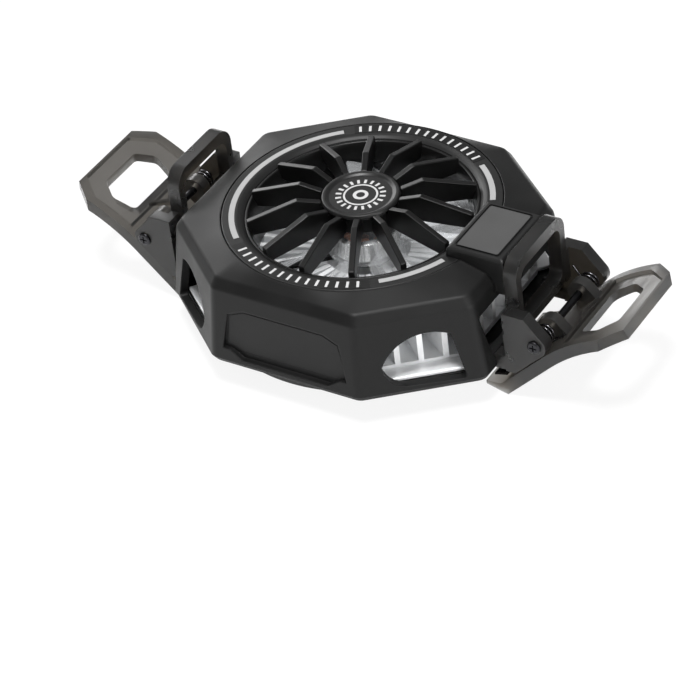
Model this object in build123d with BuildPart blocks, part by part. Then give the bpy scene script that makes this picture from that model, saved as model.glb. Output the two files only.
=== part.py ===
from build123d import *
import os
from math import atan2, cos, degrees, hypot, pi, radians, sin, sqrt, tan

os.makedirs("parts", exist_ok=True)

# A clip-on phone cooler: an octagonal body with a fan, a heat sink and a cold plate, and two
# spring-closed claws that hold it on the back of a phone.
# The origin is the centre of the cold plate's face, +Z points away from the phone, +X is the
# side with the display.

# Body outline at the foot, seen from above
foot_half_length = 37.5
foot_half_depth = 34.5
front_side_half = 17.3
clamp_side_half = 18.1
corner_round = 2.6
wall = 1.8

# Body heights, and how far the outline has drawn in at each
foot_height = 1.6
foot_bevel_inset = 1.0
foot_bevel_height = 1.3
shoulder_height = 18.9
shoulder_draw_in = 2.3
crown_height = 20.9
crown_draw_in = 3.7
rim_height = 22.6
rim_margin = 5.5
rim_radius = foot_half_depth - rim_margin
edge_round = 1.2

# Clearances, and how far a cut runs past its wall
fit = 0.05
seat_gap = 0.15
overrun = 2.0

# Corner vent windows: along the side from its middle, and up from the phone
window_tip = 7.5
window_end_top = 6.8
window_end_low = 9.2
window_low = 3.4
window_top = 14.8
window_tip_height = 8.8
window_round = 0.8

# Vent windows behind the clamps
side_window_low = 5.8
side_window_top = 15.8
side_window_half_low = 14.4
side_window_half_top = 16.2

# Sunk panels of the front and rear sides
panel_top = 15.4
panel_shoulder_height = 13.9
panel_low = 5.6
panel_lip_low = 3.8
panel_half_top = 9.6
panel_half_shoulder = 13.0
panel_half_low = 14.6
panel_half_lip = 10.2
panel_depth_top = 0.15
panel_depth_low = 1.05

# Ledge in the housing, grille and bezel
ledge_low = 18.2
ledge_top = 19.4
ledge_width = 4.5
ledge_radius = rim_radius - ledge_width
rim_wall = 1.2
flange_margin = 0.4
flange_radius = rim_radius - flange_margin
flange_top = 20.5
duct_play = 0.2
duct_outer = ledge_radius - duct_play
duct_wall = 1.6
duct_inner = duct_outer - duct_wall
duct_mouth = duct_outer - duct_wall / 2
duct_low = 17.0
bezel_inner = duct_outer - duct_play
spoke_count = 14
spoke_thick = 1.3
spoke_outer = duct_mouth + duct_play
spoke_outer_top = 23.2
spoke_outer_low = 19.7
knee_radius = 13.0
knee_height = 26.4
hub_radius = 7.6
hub_low = 20.7
hub_top = 24.2
medallion_radius = 8.2
medallion_top = 25.4
medallion_rim = 1.2
medallion_sink = 0.3

# Light strips in the bezel and the board under them
strip_margin = 2.3
strip_radius = rim_radius - strip_margin
strip_width = 1.3
strip_proud = 0.12
strip_arcs = [(128.8, 99.7), (25.7, 27.4), (-52.1, 30.2)]
led_board_thick = 0.6
led_board_margin = 0.8
led_board_inner = bezel_inner + led_board_margin
led_board_outer = rim_radius - led_board_margin

# Display pod
pod_length = 13.9
pod_overhang = 0.6
pod_outer_end = foot_half_length + pod_overhang
pod_inner_end = pod_outer_end - pod_length
pod_half_width = 9.0
pod_low = 17.0
pod_top = 24.9
pod_taper = 4.0
pod_round = 0.5
display_margin = 2.5
display_inner_end = pod_inner_end + display_margin
display_length = 8.3
display_outer_end = display_inner_end + display_length
display_half_width = 6.6
display_sink = 0.4
display_window_thick = 0.7
display_board_thick = 0.8

# Base cover and what lies under it
base_cover_thick = 2.0
contact_ring_margin = 1.5
contact_ring_outer = foot_half_depth - contact_ring_margin
contact_ring_inner = 21.4
cold_plate_radius = 21.2
cold_plate_thick = 1.6
cold_plate_bevel = 0.4
peltier_side = 23.0
peltier_thick = 2.4
peltier_plate_thick = 0.7
insulation_radius = 16.8
magnet_count = 16
magnet_width = 2.6
magnet_margin = 5.2
magnet_outer = contact_ring_outer - magnet_margin
magnet_inner = magnet_outer - magnet_width
magnet_thick = 1.3
magnet_sweep = 17.0

# Heat sink
sink_base_thick = 1.2
fin_count = 42
fin_phase = 2.1
fin_thick = 1.1
fin_inner = 9.0
fin_step_play = 0.2
fin_step_height = 11.5
fin_top = 15.5
fin_wall_gap = 2.5
board_bay_half = 12.0
board_bay_depth = 9.5
board_bay_start = foot_half_depth - board_bay_depth

# Fan
frame_lip = 0.3
frame_outer = duct_outer + frame_lip
fin_step_radius = frame_outer + fin_step_play
frame_thick = 0.9
frame_base_radius = 6.6
frame_arm_width = 2.2
frame_arm_count = 4
bearing_tube_outer = 2.2
bearing_tube_top = 17.0
bearing_outer = 1.6
shaft_radius = 0.75
shaft_low_gap = 0.1
impeller_low = 12.9
impeller_top = 18.4
impeller_hub_outer = 8.2
impeller_hub_wall = 0.9
impeller_cap_thick = 0.8
impeller_boss_radius = 1.8
impeller_boss_low = 17.3
blade_count = 9
blade_tip_gap = 0.8
blade_tip = duct_inner - blade_tip_gap
blade_thick = 0.8
blade_root_chord = 6.2
blade_tip_chord = 9.4
blade_root_pitch = 48.0
blade_tip_pitch = 30.0
blade_bow_share = 0.1
magnet_wall = 0.8
rotor_low = 13.3
rotor_magnet_top = 16.9
yoke_wall = 0.5
yoke_lip_width = 1.6
fan_board_thick = 0.6
fan_board_radius = 6.2
stator_low = 13.6
stator_top = 15.9
stator_core = 3.2
stator_tooth_end = 5.1
stator_outer = 5.6
stator_tooth_width = 0.9
stator_slot_width = 0.9
stator_teeth = 6
coil_wrap = 0.5

# Control board and USB-C inlet
control_board_half = 11.0
control_board_thick = 1.2
control_board_setback = 7.9
control_board_face = foot_half_depth - control_board_setback
control_board_top = 16.4
inlet_height = 9.6
inlet_width = 8.94
inlet_thick = 3.2
inlet_wall = 0.3
inlet_setback = 1.3
inlet_end = foot_half_depth - inlet_setback
tongue_width = 6.7
tongue_thick = 0.7
tongue_setback = 1.0

# Screws
screw_radius = 0.65
screw_bore = 0.7
screw_head_radius = 1.3
screw_head_thick = 0.8
pillar_radius = 2.0
pillar_room = 0.9
pillar_x = 13.5
pillar_setback = 8.3
pillar_y = foot_half_depth - pillar_setback
pillar_screw_top = 10.0
sink_screw_place = 16.6
sink_boss_radius = 1.7
sink_screw_top = 7.2
grille_screw_margin = 2.1
grille_screw_radius = rim_radius - grille_screw_margin
grille_screw_start = 45.0
bracket_screw_height = 3.9
bracket_screw_setback = 2.9
bracket_screw_length = 5.4
bracket_screw_seat = foot_half_length - bracket_screw_setback
bracket_screw_tip = bracket_screw_seat + bracket_screw_length

# Bracket
bracket_standoff = 0.7
bracket_thick = 3.0
bracket_inner_face = foot_half_length + bracket_standoff
bracket_outer_face = bracket_inner_face + bracket_thick
wing_thick = 1.9
wing_inner_face = bracket_outer_face - wing_thick
bracket_half_width = 10.0
bracket_top = 26.0
bracket_round = 4.0
bracket_bar_low = 8.5
frame_window_low = 10.5
frame_window_top = 23.2
frame_window_half = 8.0
frame_window_round = 2.2
wing_start = 9.0
cheek_inner = 11.0
cheek_outer = 13.8
cheek_top = 16.2
cheek_top_reach = 3.0
cheek_top_end = bracket_outer_face + cheek_top_reach
cheek_low = 1.9
cheek_low_reach = 0.1
cheek_low_end = bracket_outer_face + cheek_low_reach
cheek_lobe = 2.5
foot_low = 2.2
foot_top = 5.6

# Hinge
hinge_reach = 5.1
hinge_x = bracket_outer_face + hinge_reach
hinge_z = 10.1
pin_radius = 0.8
pin_cheek_fit = 0.02
pin_head_radius = 1.45
pin_head_thick = 0.6
barrel_radius = 2.6
barrel_inner = 5.0
barrel_outer = 7.5

# Claw
claw_half_width = 13.4
claw_thick = 2.6
claw_rise = 44.2
claw_foot_back = 7.3
claw_foot_x = hinge_x - claw_foot_back
claw_foot_z = -4.5
claw_straight = 14.9
claw_bend_radius = 37.0
claw_bend = 28.0
lip_length = 5.7
lip_tip_x = claw_foot_x - lip_length
lip_tip_thick = 0.8
lip_tip_half = 12.0
loop_reach = 19.7
loop_end = hinge_x + loop_reach
loop_corner_back = 5.5
loop_corner_x = loop_end - loop_corner_back
loop_end_half = 8.7
hole_start_back = 12.8
hole_wide_back = 8.4
hole_end_back = 5.0
hole_start = loop_end - hole_start_back
hole_wide_x = loop_end - hole_wide_back
hole_end = loop_end - hole_end_back
hole_half_start = 7.0
hole_half_wide = 8.2
hole_half_end = 5.4
hole_round = 1.5
loop_rim_width = 2.0
loop_rim_sink = 0.8
loop_rim_back = 14.6
loop_rim_start = loop_end - loop_rim_back
rib_height = 0.7
rib_width = 0.8
rib_length = 2.6
rib_end = loop_rim_start
rib_start = rib_end - rib_length
rib_spread = 4.4
pad_thick = 0.7
pad_half_width = 10.0

# Torsion springs
wire = 0.45
wire_sides = 8
spring_radius = 1.9
spring_pitch = 0.9
spring_quarter_turns = 9
spring_bracket_leg = 4.0
spring_claw_leg = 2.6
spring_leg_tilt = 12.0


def octagon_corners(draw_in):
    """Corners of the body outline, drawn in evenly from the foot's, from the front side round."""
    slope = atan2(foot_half_depth - clamp_side_half, foot_half_length - front_side_half)
    half_x = foot_half_length - draw_in
    half_y = foot_half_depth - draw_in
    front = front_side_half - draw_in * tan(slope / 2)
    clamp = clamp_side_half - draw_in * tan((pi / 2 - slope) / 2)
    right = [(front, -half_y), (half_x, -clamp), (half_x, clamp), (front, half_y)]
    return right + [(-x, -y) for x, y in right]


def body_outline(height, draw_in, rounding=corner_round):
    """The outline as a face at a height."""
    with BuildSketch(Plane.XY.offset(height)) as outline:
        Polygon(*octagon_corners(draw_in), align=None)
        fillet(outline.vertices(), rounding)
    return outline.sketch


def disc(height, radius):
    """A round face at a height."""
    with BuildSketch(Plane.XY.offset(height)) as face:
        Circle(radius)
    return face.sketch


def drawn_in_at(height):
    """How far the side has leaned in at a height."""
    return shoulder_draw_in * (height - foot_height) / (shoulder_height - foot_height)


def body_form(inset, drop):
    """The body's outside, or its cavity when inset by the wall and dropped at the top."""
    bevel_top = foot_height + foot_bevel_height
    foot_inset = inset if inset > 0 else foot_bevel_inset
    levels = [
        body_outline(foot_height, foot_inset),
        body_outline(bevel_top, drawn_in_at(bevel_top) + inset),
        body_outline(shoulder_height - drop / 2, shoulder_draw_in + inset),
        body_outline(crown_height - drop, crown_draw_in + inset),
    ]
    with BuildPart() as form:
        for lower, upper in zip(levels, levels[1:]):
            loft(sections=[lower, upper], ruled=True)
        loft(sections=[levels[-1], disc(rim_height - drop, rim_radius - inset / 2)], ruled=True)
    return form.part


def side_plane(start, end):
    """Upright plane on a side of the foot outline, x along the side, y up, facing outwards."""
    along_x = end[0] - start[0]
    along_y = end[1] - start[1]
    length = hypot(along_x, along_y)
    middle = ((start[0] + end[0]) / 2, (start[1] + end[1]) / 2, 0)
    return Plane(
        origin=middle,
        x_dir=(along_x / length, along_y / length, 0),
        z_dir=(along_y / length, -along_x / length, 0),
    )


def arc_band(inner, outer, start, turn):
    """Part of a flat ring, from a start angle through a turn, both in degrees."""
    with BuildSketch() as band:
        with BuildLine():
            outer_arc = CenterArc((0, 0), outer, start, turn)
            inner_arc = CenterArc((0, 0), inner, start, turn)
            Line(outer_arc @ 0, inner_arc @ 0)
            Line(outer_arc @ 1, inner_arc @ 1)
        make_face()
    return band.sketch


def both_sides(part):
    """A part and its copy on the other clamp side."""
    return [part, mirror(part, about=Plane.YZ)]


def four_corners(part):
    """A part and its copies in the other three quarters."""
    return [copy for half in both_sides(part) for copy in (half, mirror(half, about=Plane.XZ))]


def save(part, name):
    """Name a finished piece and write it."""
    part.label = name
    export_step(part, f"parts/{name}.step")


with BuildPart() as outside:
    add(body_form(0, 0))
    for height in (shoulder_height, crown_height):
        fillet(outside.edges().filter_by_position(Axis.Z, height - fit, height + fit), edge_round)
outer_form = outside.part
cavity_form = body_form(wall, wall)

# Screws that stand upwards from the base: a countersunk head and a plain shank

cover_top = foot_height + base_cover_thick
sink_low = foot_height + peltier_thick
sink_top = sink_low + sink_base_thick
pillar_places = [(x, y) for x in (-pillar_x, pillar_x) for y in (-pillar_y, pillar_y)]
sink_screw_places = [(x, y) for x in (-sink_screw_place, sink_screw_place)
                     for y in (-sink_screw_place, sink_screw_place)]


def upward_screws(places, top, head, shank):
    """Countersunk screws with their heads flush in the base cover."""
    with BuildPart() as screws:
        with BuildSketch(Plane.XY.offset(foot_height)):
            with Locations(*places):
                Circle(shank)
        extrude(amount=top - foot_height)
        with Locations(*[(x, y, foot_height) for x, y in places]):
            Cone(head, shank, screw_head_thick, align=(Align.CENTER, Align.CENTER, Align.MIN))
    return screws.part


base_screws = upward_screws(pillar_places, pillar_screw_top, screw_head_radius, screw_radius)
save(base_screws, "base_screws")
heat_sink_screws = upward_screws(sink_screw_places, sink_screw_top, screw_head_radius, screw_radius)
save(heat_sink_screws, "heat_sink_screws")

# Housing: one moulding, open below and at the rim, with six vent windows

foot_corners = octagon_corners(0)

with BuildPart() as corner_window:
    with BuildSketch(side_plane(foot_corners[0], foot_corners[1])) as window_outline:
        with BuildLine():
            tip = (-window_tip, window_tip_height)
            top_end = (window_end_top, window_top - window_round)
            low_end = (window_end_low, window_low)
            low_turn = (-window_tip / 3, window_low + window_round / 2)
            tip_low = (-window_tip + window_round, (window_low + window_tip_height) / 2)
            ThreePointArc(tip, (-window_tip / 3, window_top - window_round), top_end)
            Line(top_end, low_end)
            Line(low_end, low_turn)
            ThreePointArc(low_turn, tip_low, tip)
        make_face()
        fillet(window_outline.vertices().sort_by(Axis.X)[-2:], window_round)
    extrude(amount=overrun * 3, both=True)

with BuildPart() as side_window:
    with BuildSketch(Plane.YZ.offset(foot_half_length - wall - overrun)) as side_window_outline:
        Polygon(
            (-side_window_half_low, side_window_low),
            (side_window_half_low, side_window_low),
            (side_window_half_top, side_window_top),
            (-side_window_half_top, side_window_top),
            align=None,
        )
        fillet(side_window_outline.vertices(), window_round)
    extrude(amount=wall + 2 * overrun)

panel_face_y = foot_half_depth - drawn_in_at(panel_top) - panel_depth_top
panel_low_y = foot_half_depth - drawn_in_at(panel_low) - panel_depth_low
panel_lean = atan2(panel_low_y - panel_face_y, panel_top - panel_low)

with BuildPart() as panel_pocket:
    with BuildSketch(Plane(
        origin=(0, -panel_face_y, panel_top),
        x_dir=(1, 0, 0),
        z_dir=(0, -cos(panel_lean), sin(panel_lean)),
    )) as panel_outline:
        Polygon(
            (-panel_half_top, 0),
            (-panel_half_shoulder, panel_shoulder_height - panel_top),
            (-panel_half_low, panel_low - panel_top),
            (-panel_half_shoulder, panel_low - panel_top),
            (-panel_half_lip, panel_lip_low - panel_top),
            (panel_half_lip, panel_lip_low - panel_top),
            (panel_half_shoulder, panel_low - panel_top),
            (panel_half_low, panel_low - panel_top),
            (panel_half_shoulder, panel_shoulder_height - panel_top),
            (panel_half_top, 0),
            align=None,
        )
    extrude(amount=overrun)

with BuildPart() as rim_ring:
    with BuildSketch(Plane.XY.offset(ledge_low)):
        Circle(rim_radius + rim_wall)
    extrude(amount=rim_height - ledge_low)
    add(outer_form, mode=Mode.INTERSECT)

with BuildPart() as pillars:
    with BuildSketch(Plane.XY.offset(cover_top)):
        with Locations(*pillar_places):
            Circle(pillar_radius)
    extrude(amount=ledge_low - cover_top)

boss_half_width = (cheek_outer - cheek_inner) / 2 + fit
boss_middle = (cheek_outer + cheek_inner) / 2
bracket_screw_places = [(y, bracket_screw_height) for y in (-boss_middle, boss_middle)]

with BuildPart() as screw_boss:
    with BuildSketch(Plane.YZ.offset(bracket_screw_seat)):
        with Locations(*[(y, (cover_top + foot_top) / 2) for y, z in bracket_screw_places]):
            Rectangle(2 * boss_half_width, foot_top - cover_top)
    extrude(amount=wall)

with BuildPart() as bracket_screw_bores:
    with BuildSketch(Plane.YZ.offset(bracket_screw_seat - overrun)):
        with Locations(*bracket_screw_places):
            Circle(screw_bore)
    extrude(amount=bracket_screw_tip + seat_gap - bracket_screw_seat + overrun)

with BuildPart() as inlet_opening:
    with BuildSketch(Plane.XZ.offset(-foot_half_depth)):
        with Locations((0, inlet_height)):
            SlotOverall(inlet_width + 4 * fit, inlet_thick + 4 * fit)
    extrude(amount=foot_half_depth - control_board_face)

with BuildPart() as housing:
    add(outer_form)
    add(cavity_form, mode=Mode.SUBTRACT)
    add(rim_ring.part)
    add(pillars.part)
    for boss in both_sides(screw_boss.part):
        add(boss)
    with BuildSketch(Plane.XY.offset(ledge_top)):
        Circle(rim_radius)
    extrude(amount=rim_height - ledge_top + overrun, mode=Mode.SUBTRACT)
    with BuildSketch(Plane.XY.offset(ledge_low - overrun)):
        Circle(ledge_radius)
    extrude(amount=rim_height - ledge_low, mode=Mode.SUBTRACT)
    for window in four_corners(corner_window.part) + both_sides(side_window.part):
        add(window, mode=Mode.SUBTRACT)
    for pocket in (panel_pocket.part, mirror(panel_pocket.part, about=Plane.XZ)):
        add(pocket, mode=Mode.SUBTRACT)
    for bores in both_sides(bracket_screw_bores.part):
        add(bores, mode=Mode.SUBTRACT)
    add(inlet_opening.part, mode=Mode.SUBTRACT)
    with BuildSketch(Plane.XY.offset(cover_top)):
        with Locations(*pillar_places):
            Circle(screw_bore)
    extrude(amount=pillar_screw_top + seat_gap - cover_top, mode=Mode.SUBTRACT)
    with BuildSketch(Plane.XY.offset(ledge_low - overrun)):
        with PolarLocations(grille_screw_radius, 4, start_angle=grille_screw_start):
            Circle(screw_bore)
    extrude(amount=overrun + ledge_top - ledge_low, mode=Mode.SUBTRACT)
save(housing.part, "housing")

# Base cover: closes the foot, holds the magnets and the screws' heads

with BuildPart() as base_cover:
    with BuildSketch(Plane.XY.offset(foot_height)):
        add(body_outline(0, wall + drawn_in_at(cover_top) + seat_gap))
    extrude(amount=base_cover_thick)
    with BuildSketch(Plane.XY.offset(cover_top)):
        with Locations(*sink_screw_places):
            Circle(pillar_radius)
    extrude(amount=sink_low - cover_top)
    with BuildSketch(Plane.XY.offset(foot_height)):
        Circle(insulation_radius + fit)
    extrude(amount=base_cover_thick, mode=Mode.SUBTRACT)
    with BuildSketch(Plane.XY.offset(foot_height)):
        for index in range(magnet_count):
            magnet_start = 360 * index / magnet_count - magnet_sweep / 2
            add(arc_band(magnet_inner - fit, magnet_outer + fit, magnet_start, magnet_sweep))
    extrude(amount=magnet_thick, mode=Mode.SUBTRACT)
    with BuildSketch(Plane.YZ.offset(bracket_screw_seat - screw_head_thick - seat_gap)):
        with Locations(*bracket_screw_places):
            Rectangle(2 * (screw_head_radius + seat_gap), 2 * (screw_head_radius + seat_gap))
    extrude(amount=overrun, mode=Mode.SUBTRACT)
    with BuildSketch(Plane.YZ.offset(-bracket_screw_seat + screw_head_thick + seat_gap)):
        with Locations(*bracket_screw_places):
            Rectangle(2 * (screw_head_radius + seat_gap), 2 * (screw_head_radius + seat_gap))
    extrude(amount=-overrun, mode=Mode.SUBTRACT)
    add(upward_screws(pillar_places, sink_low, screw_head_radius + fit, screw_bore), mode=Mode.SUBTRACT)
    add(upward_screws(sink_screw_places, sink_low, screw_head_radius + fit, screw_bore), mode=Mode.SUBTRACT)
save(base_cover.part, "base_cover")

with BuildPart() as base_magnets:
    with BuildSketch(Plane.XY.offset(foot_height)):
        for index in range(magnet_count):
            magnet_start = 360 * index / magnet_count - magnet_sweep / 2
            add(arc_band(magnet_inner, magnet_outer, magnet_start, magnet_sweep))
    extrude(amount=magnet_thick)
save(base_magnets.part, "base_magnets")

with BuildPart() as contact_ring:
    with BuildSketch():
        Circle(contact_ring_outer)
        Circle(contact_ring_inner, mode=Mode.SUBTRACT)
    extrude(amount=foot_height)
    chamfer(contact_ring.faces().sort_by(Axis.Z)[0].edges(), cold_plate_bevel)
save(contact_ring.part, "contact_ring")

# Cold plate, Peltier module and its insulation

with BuildPart() as cold_plate:
    with BuildSketch():
        Circle(cold_plate_radius)
    extrude(amount=cold_plate_thick)
    chamfer(cold_plate.faces().sort_by(Axis.Z)[0].edges(), cold_plate_bevel)
save(cold_plate.part, "cold_plate")

with BuildPart() as peltier_module:
    with BuildSketch(Plane.XY.offset(cold_plate_thick)):
        Rectangle(peltier_side, peltier_side)
    extrude(amount=peltier_thick)
    with BuildSketch(Plane.XY.offset(cold_plate_thick + peltier_plate_thick)):
        Rectangle(peltier_side, peltier_side)
        offset(amount=-peltier_plate_thick, mode=Mode.SUBTRACT)
    extrude(amount=peltier_thick - 2 * peltier_plate_thick, mode=Mode.SUBTRACT)
save(peltier_module.part, "peltier_module")

with BuildPart() as insulation_ring:
    with BuildSketch(Plane.XY.offset(cold_plate_thick)):
        Circle(insulation_radius)
        Rectangle(peltier_side + 2 * fit, peltier_side + 2 * fit, mode=Mode.SUBTRACT)
    extrude(amount=peltier_thick)
save(insulation_ring.part, "insulation_ring")

# Heat sink: a base plate with radial fins, stepped round the fan

fin_draw_in = wall + drawn_in_at(fin_top) + fin_wall_gap


def fin_field(inner, height):
    """Radial fins between an inner circle and the housing wall, up to a height."""
    with BuildPart() as fins:
        with BuildSketch(Plane.XY.offset(sink_top)):
            with PolarLocations(foot_half_length / 2 + inner / 2, fin_count, start_angle=fin_phase):
                Rectangle(foot_half_length - inner, fin_thick)
            add(body_outline(0, fin_draw_in), mode=Mode.INTERSECT)
            Circle(inner, mode=Mode.SUBTRACT)
            with Locations((0, board_bay_start + foot_half_depth / 2)):
                Rectangle(2 * board_bay_half, foot_half_depth, mode=Mode.SUBTRACT)
            with Locations(*pillar_places):
                Circle(pillar_radius + pillar_room, mode=Mode.SUBTRACT)
        extrude(amount=height - sink_top)
    return fins.part


with BuildPart() as heat_sink:
    with BuildSketch(Plane.XY.offset(sink_low)):
        add(body_outline(0, fin_draw_in))
        with Locations((0, board_bay_start + foot_half_depth / 2)):
            Rectangle(2 * board_bay_half, foot_half_depth, mode=Mode.SUBTRACT)
        with Locations(*pillar_places):
            Circle(pillar_radius + fit, mode=Mode.SUBTRACT)
    extrude(amount=sink_base_thick)
    add(fin_field(fin_inner, fin_step_height))
    add(fin_field(fin_step_radius, fin_top))
    with BuildSketch(Plane.XY.offset(sink_top)):
        with Locations(*sink_screw_places):
            Circle(sink_boss_radius)
    extrude(amount=sink_screw_top + seat_gap - sink_top)
    with BuildSketch(Plane.XY.offset(sink_low)):
        with Locations(*sink_screw_places):
            Circle(screw_bore)
    extrude(amount=sink_screw_top + seat_gap - sink_low, mode=Mode.SUBTRACT)
save(heat_sink.part, "heat_sink")

# Fan frame: a ring in the fins' step, four arms and the motor's tube

frame_top = fin_step_height + frame_thick

with BuildPart() as fan_frame:
    with BuildSketch(Plane.XY.offset(fin_step_height)):
        Circle(frame_outer)
        Circle(duct_inner, mode=Mode.SUBTRACT)
    extrude(amount=duct_low - fin_step_height)
    with BuildSketch(Plane.XY.offset(fin_step_height)):
        Circle(frame_base_radius)
        arm_length = (duct_inner + frame_outer) / 2 - bearing_outer
        with PolarLocations(bearing_outer + arm_length / 2, frame_arm_count, start_angle=grille_screw_start):
            Rectangle(arm_length, frame_arm_width)
    extrude(amount=frame_thick)
    with BuildSketch(Plane.XY.offset(frame_top)):
        Circle(bearing_tube_outer)
        Circle(bearing_outer, mode=Mode.SUBTRACT)
    extrude(amount=bearing_tube_top - frame_top)
save(fan_frame.part, "fan_frame")

with BuildPart() as shaft_bearing:
    with BuildSketch(Plane.XY.offset(frame_top)):
        Circle(bearing_outer)
        Circle(shaft_radius + fit, mode=Mode.SUBTRACT)
    extrude(amount=bearing_tube_top - frame_top)
save(shaft_bearing.part, "shaft_bearing")

with BuildPart() as fan_shaft:
    with BuildSketch(Plane.XY.offset(frame_top + shaft_low_gap)):
        Circle(shaft_radius)
    extrude(amount=impeller_top - impeller_cap_thick / 2 - frame_top - shaft_low_gap)
save(fan_shaft.part, "fan_shaft")

with BuildPart() as fan_board:
    with BuildSketch(Plane.XY.offset(frame_top)):
        Circle(fan_board_radius)
        Circle(bearing_tube_outer + fit, mode=Mode.SUBTRACT)
    extrude(amount=fan_board_thick)
save(fan_board.part, "fan_board")

# Motor: six-tooth stator, its windings, and the ring magnet in its steel yoke

with BuildPart() as stator_core_part:
    with BuildSketch(Plane.XY.offset(stator_low)):
        Circle(stator_core)
        with PolarLocations((stator_core + stator_tooth_end) / 2, stator_teeth):
            Rectangle(stator_tooth_end - stator_core + coil_wrap, stator_tooth_width)
        slot_sweep = degrees(stator_slot_width / stator_outer)
        for index in range(stator_teeth):
            shoe_start = 360 * (index - 1 / 2) / stator_teeth + slot_sweep / 2
            add(arc_band(stator_tooth_end, stator_outer, shoe_start, 360 / stator_teeth - slot_sweep))
        Circle(bearing_tube_outer, mode=Mode.SUBTRACT)
    extrude(amount=stator_top - stator_low)
save(stator_core_part.part, "motor_stator")

with BuildPart() as motor_coils:
    coil_length = stator_tooth_end - stator_core - 4 * fit
    with BuildSketch(Plane.XY.offset(stator_low - coil_wrap)):
        with PolarLocations((stator_core + stator_tooth_end) / 2, stator_teeth):
            RectangleRounded(coil_length, stator_tooth_width + 2 * coil_wrap, coil_wrap)
    extrude(amount=stator_top - stator_low + 2 * coil_wrap)
    add(stator_core_part.part, mode=Mode.SUBTRACT)
save(motor_coils.part, "motor_coils")

yoke_outer = impeller_hub_outer - impeller_hub_wall
magnet_ring_outer = yoke_outer - yoke_wall

with BuildPart() as rotor_magnet:
    with BuildSketch(Plane.XY.offset(rotor_low)):
        Circle(magnet_ring_outer)
        Circle(magnet_ring_outer - magnet_wall, mode=Mode.SUBTRACT)
    extrude(amount=rotor_magnet_top - rotor_low)
save(rotor_magnet.part, "rotor_magnet")

hub_ceiling = impeller_top - impeller_cap_thick

with BuildPart() as rotor_yoke:
    with BuildSketch(Plane.XY.offset(rotor_low)):
        Circle(yoke_outer)
        Circle(magnet_ring_outer, mode=Mode.SUBTRACT)
    extrude(amount=hub_ceiling - rotor_low)
    with BuildSketch(Plane.XY.offset(rotor_magnet_top)):
        Circle(yoke_outer)
        Circle(yoke_outer - yoke_lip_width, mode=Mode.SUBTRACT)
    extrude(amount=hub_ceiling - rotor_magnet_top)
save(rotor_yoke.part, "rotor_yoke")

# Impeller: a clear hub with bowed, twisted blades


def blade_section(radius, chord, pitch):
    """Bowed blade section on a plane across the radius, pitched against the fan's plane."""
    middle_height = (impeller_low + impeller_top) / 2
    across = Plane(origin=(radius, 0, middle_height), x_dir=(0, 1, 0), z_dir=(1, 0, 0))
    half = chord / 2
    edge = blade_thick / 2
    bow = chord * blade_bow_share
    with BuildSketch(across) as section:
        with BuildLine():
            upper = ThreePointArc((-half, edge), (0, bow + edge), (half, edge))
            lower = ThreePointArc((-half, 0), (0, bow - edge), (half, 0))
            Line(upper @ 0, lower @ 0)
            Line(upper @ 1, lower @ 1)
        make_face()
    return section.sketch.rotate(Axis((radius, 0, middle_height), (1, 0, 0)), pitch)


with BuildPart() as blade:
    loft(sections=[
        blade_section(impeller_hub_outer - impeller_hub_wall / 2, blade_root_chord, blade_root_pitch),
        blade_section(blade_tip, blade_tip_chord, blade_tip_pitch),
    ], ruled=True)

with BuildPart() as fan_impeller:
    with BuildSketch(Plane.XY.offset(impeller_low)):
        Circle(impeller_hub_outer)
    extrude(amount=impeller_top - impeller_low)
    fillet(fan_impeller.edges().sort_by(Axis.Z)[-1], impeller_cap_thick / 2)
    with PolarLocations(0, blade_count):
        add(blade.part)
    with BuildSketch(Plane.XY.offset(impeller_low)):
        Circle(yoke_outer)
    extrude(amount=hub_ceiling - impeller_low, mode=Mode.SUBTRACT)
    with BuildSketch(Plane.XY.offset(impeller_boss_low)):
        Circle(impeller_boss_radius)
    extrude(amount=hub_ceiling - impeller_boss_low)
    with BuildSketch(Plane.XY.offset(impeller_boss_low)):
        Circle(shaft_radius)
    extrude(amount=impeller_top - impeller_cap_thick / 2 - impeller_boss_low, mode=Mode.SUBTRACT)
save(fan_impeller.part, "fan_impeller")

# Grille: duct ring with its flange, fourteen tall spokes with a knee, and the hub

with BuildPart() as spoke:
    with BuildSketch(Plane.XZ):
        Polygon(
            (spoke_outer, spoke_outer_low),
            (spoke_outer, spoke_outer_top),
            (knee_radius, knee_height),
            (medallion_radius + fit, medallion_top - medallion_sink),
            (medallion_radius + fit, hub_top),
            (hub_radius - spoke_thick / 2, hub_top),
            (hub_radius - spoke_thick / 2, hub_low),
            align=None,
        )
    extrude(amount=spoke_thick / 2, both=True)

with BuildPart() as fan_grille:
    with BuildSketch(Plane.XZ):
        Polygon(
            (duct_inner, duct_low),
            (duct_outer, duct_low),
            (duct_outer, ledge_top),
            (flange_radius, ledge_top),
            (flange_radius, flange_top),
            (bezel_inner, flange_top),
            (bezel_inner, rim_height),
            (duct_mouth, rim_height),
            align=None,
        )
    revolve(axis=Axis.Z)
    with BuildSketch(Plane.XY.offset(hub_low)):
        Circle(hub_radius)
    extrude(amount=hub_top - hub_low)
    with PolarLocations(0, spoke_count, start_angle=360 / spoke_count / 2):
        add(spoke.part)
    with BuildSketch(Plane.XY.offset(ledge_top)):
        with PolarLocations(grille_screw_radius, 4, start_angle=grille_screw_start):
            Circle(screw_bore)
    extrude(amount=flange_top - ledge_top, mode=Mode.SUBTRACT)
save(fan_grille.part, "fan_grille")

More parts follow.
